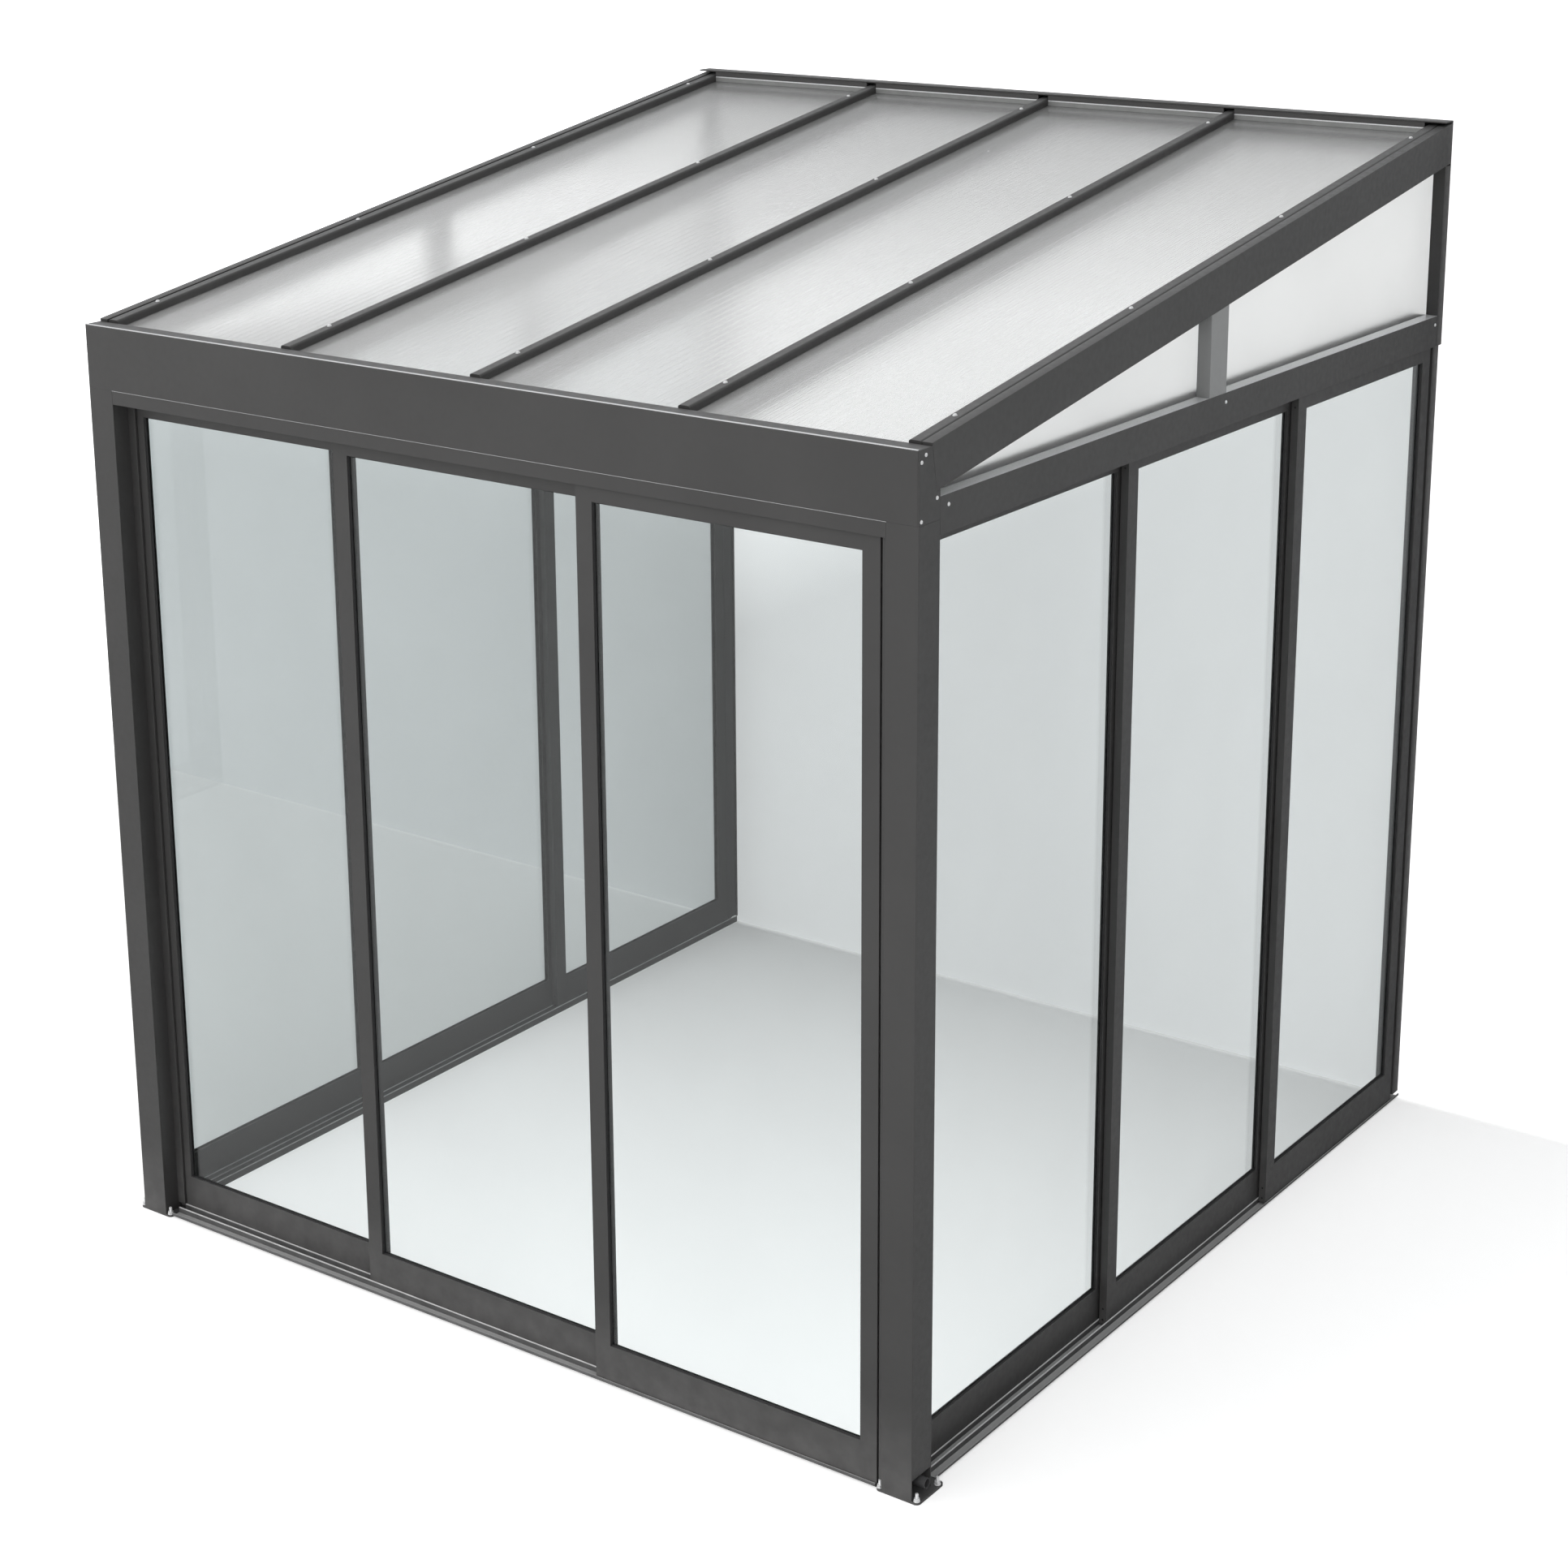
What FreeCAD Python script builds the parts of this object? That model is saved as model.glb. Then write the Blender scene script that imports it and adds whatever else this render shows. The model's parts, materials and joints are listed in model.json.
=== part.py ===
import FreeCAD, Part
import math
import os
import Sketcher
from types import SimpleNamespace

# Lean-to conservatory: an aluminium frame against a house wall, a sheet roof that
# falls to a box gutter, and three walls of glazed panels that slide on three tracks.
# Millimetres. X runs along the front, Y from the front to the house wall, Z up.
# The origin is on the floor, in the middle of the plan.

SIZES = {
    # Overall
    "width": 2500,
    "depth": 2610,
    "eave_height": 2445,
    "roof_pitch": 8.88,
    # Front posts, open at the inner corner for the innermost track
    "post_side": 82,
    "post_wall": 3,
    "post_rebate": 34,
    # Feet
    "foot_margin": 18,
    "foot_rear": 30,
    "foot_thickness": 6,
    "foot_corner": 12,
    "anchor_rear_edge": 17,
    "anchor_diameter": 8,
    "anchor_hole": 9,
    "anchor_rise": 20,
    "anchor_washer": 16,
    "anchor_washer_thickness": 1.6,
    "anchor_nut": 13,
    "anchor_nut_height": 6.5,
    # Rainwater outlet in the foot of each front post
    "drain_notch_height": 50,
    "spout_diameter": 25,
    "spout_wall": 2,
    "spout_reach": 16,
    "spout_height": 32,
    # Tracks, measured inwards from the outer face of the wall
    "track_inset": 8,
    "track_pitch": 24,
    "rib_thickness": 2,
    "sill_height": 22,
    "sill_base": 6,
    "sill_lip": 3,
    "sill_lip_height": 14,
    "sill_chamfer": 8,
    "sill_gap": 2,
    "front_header_height": 35,
    "header_base": 6,
    "side_header_height": 84,
    "header_wall": 3,
    # Sliding panels
    "panel_thickness": 20,
    "panel_floor_gap": 12,
    "panel_head_lap": 14,
    "panel_lap": 36,
    "closing_gap": 1,
    "post_closing_gap": 5,
    "wall_closing_gap": 16,
    "front_middle_width": 806,
    "front_middle_place": -40,
    "side_middle_width": 860,
    "left_middle_place": -33,
    "right_middle_place": 62,
    "stile_width": 46,
    "top_rail": 50,
    "bottom_rail": 96,
    "member_wall": 2,
    "pane_thickness": 6,
    "pane_bite": 8,
    "pane_seal": 1,
    "pane_edge_gap": 0.5,
    "glide_length": 70,
    "glide_width": 14,
    "glide_offset": 90,
    "glide_clearance": 0.3,
    # Jambs that the panels close against
    "rebate_lip": 24,
    "post_buffer": 13,
    "side_jamb_width": 35,
    "wall_seal_thickness": 6,
    # Gutter and eaves beam
    "gutter_height": 162,
    "gutter_depth": 50,
    "gutter_wall": 3,
    "gutter_back": 122,
    "gutter_edge_radius": 4,
    "beam_wall": 3,
    # Roof, measured down from the plane of the bar caps
    "cap_rise": 7,
    "edge_bar_inset": 45,
    "bar_depth": 107,
    "bar_box": 40,
    "bar_flange": 60,
    "bar_flange_thickness": 4,
    "bar_wall": 3,
    "bar_upstand": 8,
    "cap_width": 32,
    "cap_height": 20,
    "cap_wall": 2.5,
    "cap_setback": 2,
    "sheet_thickness": 10,
    "sheet_skin": 0.8,
    "sheet_gap": 2,
    "sheet_overhang": 6,
    "rafter_width": 60,
    "rafter_strip": 26,
    "rafter_ledge": 6,
    # House wall
    "wall_plate_web": 4,
    "wall_plate_flange": 50,
    "wall_plate_clearance": 2,
    "wall_post_depth": 36,
    "wall_post_box": 34,
    "wall_fixing_inset": 58,
    "wall_fixing_low": 300,
    "wall_fixing_spacing": 900,
    "wall_fixing_hole": 9,
    # Gables
    "mullion_width": 85,
    "gable_pane_inset": 36,
    "gable_pane_thickness": 6,
    "gable_pane_joint": 2,
    # Screws
    "roof_screw_first": 205,
    "roof_screw_last": 170,
    "roof_screw_head": 11,
    "roof_screw_head_height": 3.5,
    "roof_screw_shank": 4.8,
    "roof_screw_length": 27,
    "frame_screw_head": 9,
    "frame_screw_head_height": 2.5,
    "frame_screw_shank": 4,
    "screw_clearance": 0.1,
}

ROOF_BARS = 5
ROOF_SCREWS_PER_BAR = 4
SHEET_CELLS = 24
TRACKS = 3
WALL_FIXINGS = 3
PANEL_NAMES = {
    "front": ("left", "middle", "right"),
    "left": ("front", "middle", "rear"),
    "right": ("front", "middle", "rear"),
}
# Tracks of a wall's panels, counted from the outermost: seen from outside, each wall
# steps outwards from left to right
PANEL_TRACKS = {"front": (2, 1, 0), "left": (0, 1, 2), "right": (2, 1, 0)}


class Size:
    """A length or an angle that keeps its sheet expression beside its value."""

    def __init__(self, text, value):
        self.text = text
        self.value = value

    def __add__(self, other):
        other = size_of(other)
        return Size(f"({self.text} + {other.text})", self.value + other.value)

    def __sub__(self, other):
        other = size_of(other)
        return Size(f"({self.text} - {other.text})", self.value - other.value)

    def __mul__(self, other):
        other = size_of(other)
        return Size(f"({self.text} * {other.text})", self.value * other.value)

    def __truediv__(self, other):
        other = size_of(other)
        return Size(f"({self.text} / {other.text})", self.value / other.value)

    def __radd__(self, other):
        return size_of(other) + self

    def __rsub__(self, other):
        return size_of(other) - self

    def __rmul__(self, other):
        return size_of(other) * self

    def __neg__(self):
        return Size(f"(-1 * {self.text})", -self.value)


def size_of(value):
    if isinstance(value, Size):
        return value
    return Size(repr(float(value)), float(value))


def sine(angle):
    return Size(f"sin({angle.text})", math.sin(math.radians(angle.value)))


def cosine(angle):
    return Size(f"cos({angle.text})", math.cos(math.radians(angle.value)))


def tangent(angle):
    return Size(f"tan({angle.text})", math.tan(math.radians(angle.value)))


def larger(one, other):
    return Size(f"max({one.text}; {other.text})", max(one.value, other.value))


doc = FreeCAD.newDocument("conservatory")


def fill_sheet():
    """Writes the driving sizes into the sheet and returns them by name."""
    sheet = doc.addObject("Spreadsheet::Sheet", "sizes")
    terms = {}
    for row, (alias, value) in enumerate(SIZES.items(), start=1):
        cell = f"A{row}"
        sheet.set(cell, str(value))
        sheet.setAlias(cell, alias)
        terms[alias] = Size(f"sizes.{alias}", float(value))
    doc.recompute()
    return SimpleNamespace(**terms)


dim = fill_sheet()

# Places worked out from the driving sizes

half = dim.width / 2
front = -dim.depth / 2
rear = dim.depth / 2
post_top = dim.eave_height - dim.gutter_height
head_height = post_top - dim.front_header_height
side_header_top = head_height + dim.side_header_height
track_gap = dim.track_pitch - dim.panel_thickness
first_rib = dim.track_inset - track_gap / 2
last_rib = first_rib + TRACKS * dim.track_pitch
foot_width = dim.post_side + 2 * dim.foot_margin
foot_length = dim.post_side + dim.foot_rear
anchor_edge = dim.foot_margin / 2
anchor_across = foot_width - 2 * anchor_edge
anchor_along = foot_length - anchor_edge - dim.anchor_rear_edge
roof_line = dim.eave_height + dim.cap_rise
roof_start = front + dim.gutter_depth
bar_spacing = (dim.width - 2 * dim.edge_bar_inset) / (ROOF_BARS - 1)
sheet_seat = dim.cap_height + dim.sheet_thickness
wall_post_face = rear - dim.wall_post_depth


def cap_plane(y):
    """Height of the plane of the bar caps at a place between front and wall."""
    return roof_line + (y - roof_start) * tangent(dim.roof_pitch)


def rafter_underside(y):
    return cap_plane(y) - dim.bar_depth / cosine(dim.roof_pitch)


wall_post_top = rafter_underside(wall_post_face)

# Drawing helpers

nodes = {}


def keep(label, shape_object):
    """Gives a finished sub-part its own label."""
    shape_object.Label = label
    nodes[label] = shape_object
    return shape_object


def bind(target, name, size):
    target.setExpression(name, size_of(size).text)


def place(target, base, tilted=False, axis=None):
    """Ties a piece's place to sizes. A tilted piece lies along the roof."""
    if tilted:
        target.Placement = FreeCAD.Placement(
            FreeCAD.Vector(), FreeCAD.Rotation(FreeCAD.Vector(1, 0, 0), dim.roof_pitch.value))
        bind(target, "Placement.Rotation.Angle", dim.roof_pitch)
    if axis:
        target.Placement = FreeCAD.Placement(
            FreeCAD.Vector(), FreeCAD.Rotation(FreeCAD.Vector(0, 0, 1), FreeCAD.Vector(*axis)))
    for letter, size in zip("xyz", base):
        bind(target, f"Placement.Base.{letter}", size)


def on_roof(x, along, lift):
    """A point given along the roof slope and square to it."""
    pitch = dim.roof_pitch
    y = roof_start + along * cosine(pitch) - lift * sine(pitch)
    z = roof_line + along * sine(pitch) + lift * cosine(pitch)
    return x, y, z


def draw_loop(sketch, points):
    """A closed outline whose corners are each tied to two sizes."""
    first = sketch.GeometryCount
    count = len(points)
    corners = [(size_of(a), size_of(b)) for a, b in points]
    for index in range(count):
        a, b = corners[index]
        c, d = corners[(index + 1) % count]
        start = FreeCAD.Vector(a.value, b.value, 0)
        end = FreeCAD.Vector(c.value, d.value, 0)
        sketch.addGeometry(Part.LineSegment(start, end), False)
    for index in range(count):
        after = first + (index + 1) % count
        sketch.addConstraint(Sketcher.Constraint("Coincident", first + index, 2, after, 1))
    for index, corner in enumerate(corners):
        for kind, size in zip(("DistanceX", "DistanceY"), corner):
            number = sketch.addConstraint(
                Sketcher.Constraint(kind, -1, 1, first + index, 1, size.value))
            sketch.setExpression(f"Constraints[{number}]", size.text)


def draw_hole(sketch, x, y, diameter):
    """A round hole tied to its centre and diameter."""
    x, y, radius = size_of(x), size_of(y), size_of(diameter) / 2
    centre = FreeCAD.Vector(x.value, y.value, 0)
    circle = sketch.addGeometry(
        Part.Circle(centre, FreeCAD.Vector(0, 0, 1), radius.value), False)
    for kind, size in (("DistanceX", x), ("DistanceY", y)):
        number = sketch.addConstraint(Sketcher.Constraint(kind, -1, 1, circle, 3, size.value))
        sketch.setExpression(f"Constraints[{number}]", size.text)
    number = sketch.addConstraint(Sketcher.Constraint("Radius", circle, radius.value))
    sketch.setExpression(f"Constraints[{number}]", radius.text)


def sketch_on(body, role, name):
    sketch = body.newObject("Sketcher::SketchObject", name)
    planes = [item for item in body.Origin.OriginFeatures if item.Role == role]
    sketch.AttachmentSupport = [(planes[0], "")]
    sketch.MapMode = "FlatFace"
    return sketch


def extrude(name, role, loops, length, base, holes=(), tilted=False):
    """An extruded profile: its outline, its chambers and its holes, and its length."""
    body = doc.addObject("PartDesign::Body", name)
    sketch = sketch_on(body, role, name + "_profile")
    for loop in loops:
        draw_loop(sketch, loop)
    for x, y, diameter in holes:
        draw_hole(sketch, x, y, diameter)
    pad = body.newObject("PartDesign::Pad", name + "_length")
    pad.Profile = sketch
    pad.Reversed = role == "XZ_Plane"
    bind(pad, "Length", length)
    place(body, base, tilted)
    return body


def rectangle(left, low, right, high):
    return [(left, low), (right, low), (right, high), (left, high)]


def box(name, low, high, tilted=False):
    """A plain block between two corners, or from a corner with its sizes if tilted."""
    block = doc.addObject("Part::Box", name)
    for prop, a, b in zip(("Length", "Width", "Height"), low, high):
        bind(block, prop, size_of(b) - size_of(a))
    base = on_roof(*low) if tilted else low
    place(block, base, tilted)
    return block


def cylinder(name, radius, height, base, tilted=False, axis=None):
    rod = doc.addObject("Part::Cylinder", name)
    bind(rod, "Radius", radius)
    bind(rod, "Height", height)
    place(rod, base, tilted, axis)
    return rod


def cut(name, base, tool):
    result = doc.addObject("Part::Cut", name)
    result.Base = base
    result.Tool = tool
    return result


def fuse(name, shapes):
    result = doc.addObject("Part::MultiFuse", name)
    result.Shapes = shapes
    return result


def group(name, shapes):
    result = doc.addObject("Part::Compound", name)
    result.Links = shapes
    return result


def in_wall(wall, along, inset, heights):
    """Corners of a block in a wall: its run, its depth from the outer face, its heights."""
    a, b = along
    c, d = inset
    low, high = heights
    if wall == "front":
        return (a, front + c, low), (b, front + d, high)
    if wall == "left":
        return (-half + c, a, low), (-half + d, b, high)
    return (half - d, a, low), (half - c, b, high)


# Front posts

def post(side, sign):
    """An angle of two chambers, whose inner corner is open to the innermost track."""
    whole, wall = dim.post_side, dim.post_wall
    short = whole - dim.post_rebate
    outline = [(0, 0), (whole, 0), (whole, short), (short, short), (short, whole), (0, whole)]
    drain = rectangle(wall, wall, short - wall, whole - wall)
    chamber = rectangle(short, wall, whole - wall, short - wall)
    loops = [[(sign * x, y) for x, y in loop] for loop in (outline, drain, chamber)]
    tube = extrude(f"{side}_post_tube", "XY_Plane", loops, post_top - dim.foot_thickness,
                   (-sign * half, front, dim.foot_thickness))
    notch_low = dim.foot_thickness
    notch_inset = (-wall, wall)
    notch_run = (front + wall, front + whole - wall)
    notch = box(f"{side}_drain_notch",
                *in_wall(side, notch_run, notch_inset,
                         (notch_low, notch_low + dim.drain_notch_height)))
    keep(f"{side}_post", cut(f"{side}_post", tube, notch))


def post_centre(sign):
    return -sign * (half - dim.post_side / 2)


def vertical_corner_edges(shape, corners):
    """Names of the upright edges that stand at the given plan corners."""
    names = []
    for number, edge in enumerate(shape.Edges, start=1):
        ends = [vertex.Point for vertex in edge.Vertexes]
        if len(ends) != 2 or abs(ends[0].z - ends[1].z) < 1e-6:
            continue
        if any(math.hypot(ends[0].x - x, ends[0].y - y) < 1e-3 for x, y in corners):
            names.append(f"Edge{number}")
    return names


def anchor_places(sign):
    """Plan places of a foot's four anchors."""
    for across in (-1, 1):
        for row in (0, 1):
            x = post_centre(sign) + across * anchor_across / 2
            y = front + anchor_edge + row * anchor_along
            yield x, y


def foot_plate(side, sign):
    """A plate with rounded corners and four anchor holes, flush with the post's face."""
    reach = foot_width / 2
    holes = [(across * anchor_across / 2, anchor_edge + row * anchor_along,
              dim.anchor_hole) for across in (-1, 1) for row in (0, 1)]
    plate = extrude(f"{side}_foot", "XY_Plane", [rectangle(-reach, 0, reach, foot_length)],
                    dim.foot_thickness, (post_centre(sign), front, 0), holes)
    doc.recompute()
    corners = [(x, y) for x in (-reach.value, reach.value) for y in (0, foot_length.value)]
    rounding = plate.newObject("PartDesign::Fillet", f"{side}_foot_corners")
    pad = plate.Tip if plate.Tip.isDerivedFrom("PartDesign::Pad") else plate.Group[1]
    rounding.Base = (pad, vertical_corner_edges(pad.Shape, corners))
    bind(rounding, "Radius", dim.foot_corner)
    plate.Tip = rounding
    return plate


def anchor(name, x, y):
    """A stud with its washer and nut, standing in the foot plate's hole."""
    radius = dim.anchor_diameter / 2
    seat = dim.foot_thickness
    nut_seat = seat + dim.anchor_washer_thickness
    stud = cylinder(name + "_stud", radius, seat + dim.anchor_rise, (x, y, 0))
    washer = cylinder(name + "_washer", dim.anchor_washer / 2, dim.anchor_washer_thickness,
                      (x, y, seat))
    nut = doc.addObject("Part::Prism", name + "_nut")
    nut.Polygon = 6
    bind(nut, "Circumradius", dim.anchor_nut / 2 / cosine(Size("30", 30.0)))
    bind(nut, "Height", dim.anchor_nut_height)
    place(nut, (x, y, nut_seat))
    return fuse(name, [stud, washer, nut])


def spout(side, sign):
    """A short pipe from the post's drain chamber out through the notch."""
    bottom = dim.post_side - dim.post_rebate - dim.post_wall
    start = -sign * (half - bottom)
    base = (start, front + dim.post_side / 2, dim.foot_thickness + dim.spout_height)
    length = bottom + dim.spout_reach
    axis = (-sign, 0, 0)
    outer = cylinder(f"{side}_spout_outer", dim.spout_diameter / 2, length, base, axis=axis)
    bore = cylinder(f"{side}_spout_bore", dim.spout_diameter / 2 - dim.spout_wall, length, base,
                    axis=axis)
    return cut(f"{side}_spout", outer, bore)


SIDES = (("left", 1), ("right", -1))

for side_name, side_sign in SIDES:
    post(side_name, side_sign)
keep("foot_plates", group("foot_plates", [foot_plate(*side) for side in SIDES]))
keep("anchor_bolts", group("anchor_bolts", [
    anchor(f"{side_name}_anchor_{number}", x, y)
    for side_name, side_sign in SIDES
    for number, (x, y) in enumerate(anchor_places(side_sign), start=1)]))
keep("drain_spouts", group("drain_spouts", [spout(*side) for side in SIDES]))


# Screws in the outer faces of the gutter's end caps and the side headers

def frame_screw_places():
    """Distance behind the front face and height of a side's screws."""
    eave, head = dim.eave_height, dim.frame_screw_head
    header_line = side_header_top - 2.5 * head
    yield dim.gutter_depth / 2, eave - 1.5 * head
    yield head, eave - 3 * head
    yield head, post_top + head
    yield dim.post_side - 1.5 * head, side_header_top
    yield dim.post_side + 3.5 * head, header_line
    yield dim.depth / 2 + dim.mullion_width / 2, header_line
    yield dim.depth - dim.wall_post_depth - 1.5 * head, header_line


def frame_screw(name, sign, y, z):
    """A pan head on the outer face, with its shank in the wall behind it."""
    base = (-sign * half, front + y, z)
    head = cylinder(name + "_head", dim.frame_screw_head / 2, dim.frame_screw_head_height, base,
                    axis=(-sign, 0, 0))
    shank = cylinder(name + "_shank", dim.frame_screw_shank / 2,
                     dim.gutter_wall - dim.screw_clearance, base, axis=(sign, 0, 0))
    return fuse(name, [head, shank])


def frame_drills(side, sign):
    """The holes of a side's screws."""
    radius = dim.frame_screw_shank / 2 + dim.screw_clearance
    holes = [cylinder(f"{side}_frame_drill_{number}", radius, dim.gutter_wall,
                      (-sign * half, front + y, z), axis=(sign, 0, 0))
             for number, (y, z) in enumerate(frame_screw_places(), start=1)]
    return group(f"{side}_frame_drills", holes)


side_drills = {side_name: frame_drills(side_name, side_sign) for side_name, side_sign in SIDES}
keep("frame_screws", group("frame_screws", [
    frame_screw(f"{side_name}_frame_screw_{number}", side_sign, y, z)
    for side_name, side_sign in SIDES
    for number, (y, z) in enumerate(frame_screw_places(), start=1)]))


# Sills and headers

def sill_outline():
    """Three channels open upwards, from the outer lip to the inner one."""
    half_rib = dim.rib_thickness / 2
    outer = dim.track_inset - track_gap
    inner = last_rib + half_rib
    points = [(outer + dim.sill_chamfer, 0), (inner, 0)]
    for track in range(TRACKS, 0, -1):
        rib = first_rib + track * dim.track_pitch
        points += [(rib + half_rib, dim.sill_height), (rib - half_rib, dim.sill_height),
                   (rib - half_rib, dim.sill_base)]
        if track > 1:
            points.append((rib - dim.track_pitch + half_rib, dim.sill_base))
    points += [(outer + dim.sill_lip, dim.sill_base), (outer + dim.sill_lip, dim.sill_lip_height),
               (outer, dim.sill_lip_height), (outer, dim.sill_chamfer)]
    return points


def header_outline(top):
    """Three channels open downwards under a flat top."""
    half_rib = dim.rib_thickness / 2
    bottom = head_height
    ceiling = post_top - dim.header_base
    inner = dim.post_side
    points = [(0, top), (inner, top), (inner, bottom)]
    points += [(last_rib - half_rib, bottom), (last_rib - half_rib, ceiling)]
    for track in range(TRACKS - 1, 0, -1):
        rib = first_rib + track * dim.track_pitch
        points += [(rib + half_rib, ceiling), (rib + half_rib, bottom),
                   (rib - half_rib, bottom), (rib - half_rib, ceiling)]
    points += [(first_rib + half_rib, ceiling), (first_rib + half_rib, bottom), (0, bottom)]
    return points


def turned(points, sign):
    return [(sign * size_of(x), z) for x, z in points]


front_sill_end = half - dim.post_side - dim.foot_margin - dim.sill_gap
keep("front_sill", extrude("front_sill", "YZ_Plane", [sill_outline()], 2 * front_sill_end,
                           (-front_sill_end, front, 0)))
keep("front_header", extrude("front_header", "YZ_Plane", [header_outline(post_top)],
                             dim.width - 2 * dim.post_side, (dim.post_side - half, front, 0)))

side_sill_start = front + foot_length + dim.sill_gap
side_header_start = front + dim.post_side
for side_name, side_sign in SIDES:
    wall = dim.header_wall
    hollow = rectangle(wall, post_top, dim.post_side - wall, side_header_top - wall)
    keep(f"{side_name}_sill",
         extrude(f"{side_name}_sill", "XZ_Plane", [turned(sill_outline(), side_sign)],
                 rear - side_sill_start, (-side_sign * half, side_sill_start, 0)))
    header_bar = extrude(
        f"{side_name}_header_bar", "XZ_Plane",
        [turned(header_outline(side_header_top), side_sign), turned(hollow, side_sign)],
        wall_post_face - side_header_start, (-side_sign * half, side_header_start, 0))
    keep(f"{side_name}_header", cut(f"{side_name}_header", header_bar, side_drills[side_name]))


# House wall: posts and plate

def wall_post_bar(name, sign, outline, inset, low, high):
    """A length of the post, hollow between its outer inset and the end of its box."""
    wall = dim.post_wall
    chamber = rectangle(inset + wall, wall, dim.wall_post_box - wall,
                        dim.wall_post_depth - dim.wall_plate_web)
    loops = [[(sign * size_of(x), y) for x, y in loop] for loop in (outline, chamber)]
    return extrude(name, "XY_Plane", loops, high - low, (-sign * half, wall_post_face, low))


def wall_post(side, sign):
    """A box with a fixing flange, in line with the outer track, and a wider box above it.

    The screws to the wall go through the flange.
    """
    reach, deep = dim.wall_post_box, dim.wall_post_depth
    web, inset = dim.wall_plate_web, dim.track_inset
    flanged = [(inset, 0), (reach, 0), (reach, deep - web), (dim.post_side, deep - web),
               (dim.post_side, deep), (inset, deep)]
    lower = wall_post_bar(f"{side}_wall_post_lower", sign, flanged, inset, dim.sill_height,
                          head_height)
    upper = wall_post_bar(f"{side}_wall_post_upper", sign, rectangle(0, 0, reach, deep),
                          size_of(0), head_height, wall_post_top)
    post_body = fuse(f"{side}_wall_post_bar", [lower, upper])
    drills = [cylinder(f"{side}_wall_fixing_{number}", dim.wall_fixing_hole / 2,
                       dim.wall_post_depth,
                       (-sign * (half - dim.wall_fixing_inset), wall_post_face,
                        dim.wall_fixing_low + number * dim.wall_fixing_spacing), axis=(0, 1, 0))
              for number in range(WALL_FIXINGS)]
    keep(f"{side}_wall_post",
         cut(f"{side}_wall_post", post_body, group(f"{side}_wall_drills", drills)))


for side_name, side_sign in SIDES:
    wall_post(side_name, side_sign)

flange_low = cap_plane(rear) + dim.wall_plate_clearance
flange_high = flange_low + dim.wall_plate_web
keep("wall_plate", extrude("wall_plate", "YZ_Plane", [[
    (-dim.wall_plate_web, wall_post_top), (0, wall_post_top), (0, flange_high),
    (-dim.wall_plate_flange, flange_high), (-dim.wall_plate_flange, flange_low),
    (-dim.wall_plate_web, flange_low)]], dim.width, (-half, rear, 0)))


# Eaves: gutter, its end caps and the beam behind it

def gutter():
    """A box trough whose top flange covers the ends of the sheets."""
    wall, deep = dim.gutter_wall, dim.gutter_depth
    back_top = post_top + dim.gutter_back
    eave = dim.eave_height
    outline = [(0, post_top), (deep, post_top), (deep, back_top), (deep - wall, back_top),
               (deep - wall, post_top + wall), (wall, post_top + wall), (wall, eave - wall),
               (deep, eave - wall), (deep, eave), (0, eave)]
    trough = extrude("gutter", "YZ_Plane", [outline], dim.width - 2 * wall,
                     (wall - half, front, 0))
    doc.recompute()
    pad = trough.Tip
    edge_names = []
    for number, edge in enumerate(pad.Shape.Edges, start=1):
        ends = [vertex.Point for vertex in edge.Vertexes]
        if all(abs(end.y) < 1e-3 and abs(end.z - eave.value) < 1e-3 for end in ends):
            edge_names.append(f"Edge{number}")
    rounding = trough.newObject("PartDesign::Fillet", "gutter_top_edge")
    rounding.Base = (pad, edge_names)
    bind(rounding, "Radius", dim.gutter_edge_radius)
    trough.Tip = rounding
    keep("gutter", trough)


def below_rafters(y):
    """Height of the rafters' underside at a distance behind the front face."""
    return rafter_underside(front + y)


gutter()

rafter_toe = dim.gutter_depth + dim.bar_depth * sine(dim.roof_pitch)
rafter_nose = dim.gutter_depth + dim.cap_rise * tangent(dim.roof_pitch)
cap_outline = [(0, post_top), (dim.post_side, post_top),
               (dim.post_side, below_rafters(dim.post_side)),
               (rafter_toe, below_rafters(rafter_toe)), (rafter_nose, dim.eave_height),
               (0, dim.eave_height)]
keep("gutter_end_caps", group("gutter_end_caps", [
    cut(f"{side_name}_gutter_cap",
        extrude(f"{side_name}_gutter_cap_plate", "YZ_Plane", [cap_outline], dim.gutter_wall,
                (x, front, 0)), side_drills[side_name])
    for side_name, x in (("left", -half), ("right", half - dim.gutter_wall))]))

beam_back = dim.post_side
beam_front = dim.gutter_depth
beam_chamber = [
    (beam_front + dim.beam_wall, post_top + dim.beam_wall),
    (beam_back - dim.beam_wall, post_top + dim.beam_wall),
    (beam_back - dim.beam_wall, below_rafters(beam_back) - 1.5 * dim.beam_wall),
    (beam_front + dim.beam_wall, below_rafters(beam_front) - 1.5 * dim.beam_wall)]
keep("eaves_beam", extrude("eaves_beam", "YZ_Plane", [
    [(beam_front, post_top), (beam_back, post_top), (beam_back, below_rafters(beam_back)),
     (beam_front, below_rafters(beam_front))], beam_chamber],
    dim.width - 2 * dim.gutter_wall, (dim.gutter_wall - half, front, 0)))


# Roof: rafters at the edges, bars between, caps, sheets and screws

roof_reach = dim.depth / cosine(dim.roof_pitch)
house = box("house_side", (-dim.width, rear - dim.wall_plate_web, 0),
            (dim.width, rear + dim.depth, 2 * dim.eave_height))


def bar_place(number):
    return dim.edge_bar_inset - half + number * bar_spacing


def screw_places():
    """Distances of a bar's screws along the slope."""
    between = dim.depth - dim.roof_screw_first - dim.roof_screw_last
    for number in range(ROOF_SCREWS_PER_BAR):
        share = number / (ROOF_SCREWS_PER_BAR - 1)
        run = dim.roof_screw_first - dim.gutter_depth + share * between
        yield run / cosine(dim.roof_pitch)


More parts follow.
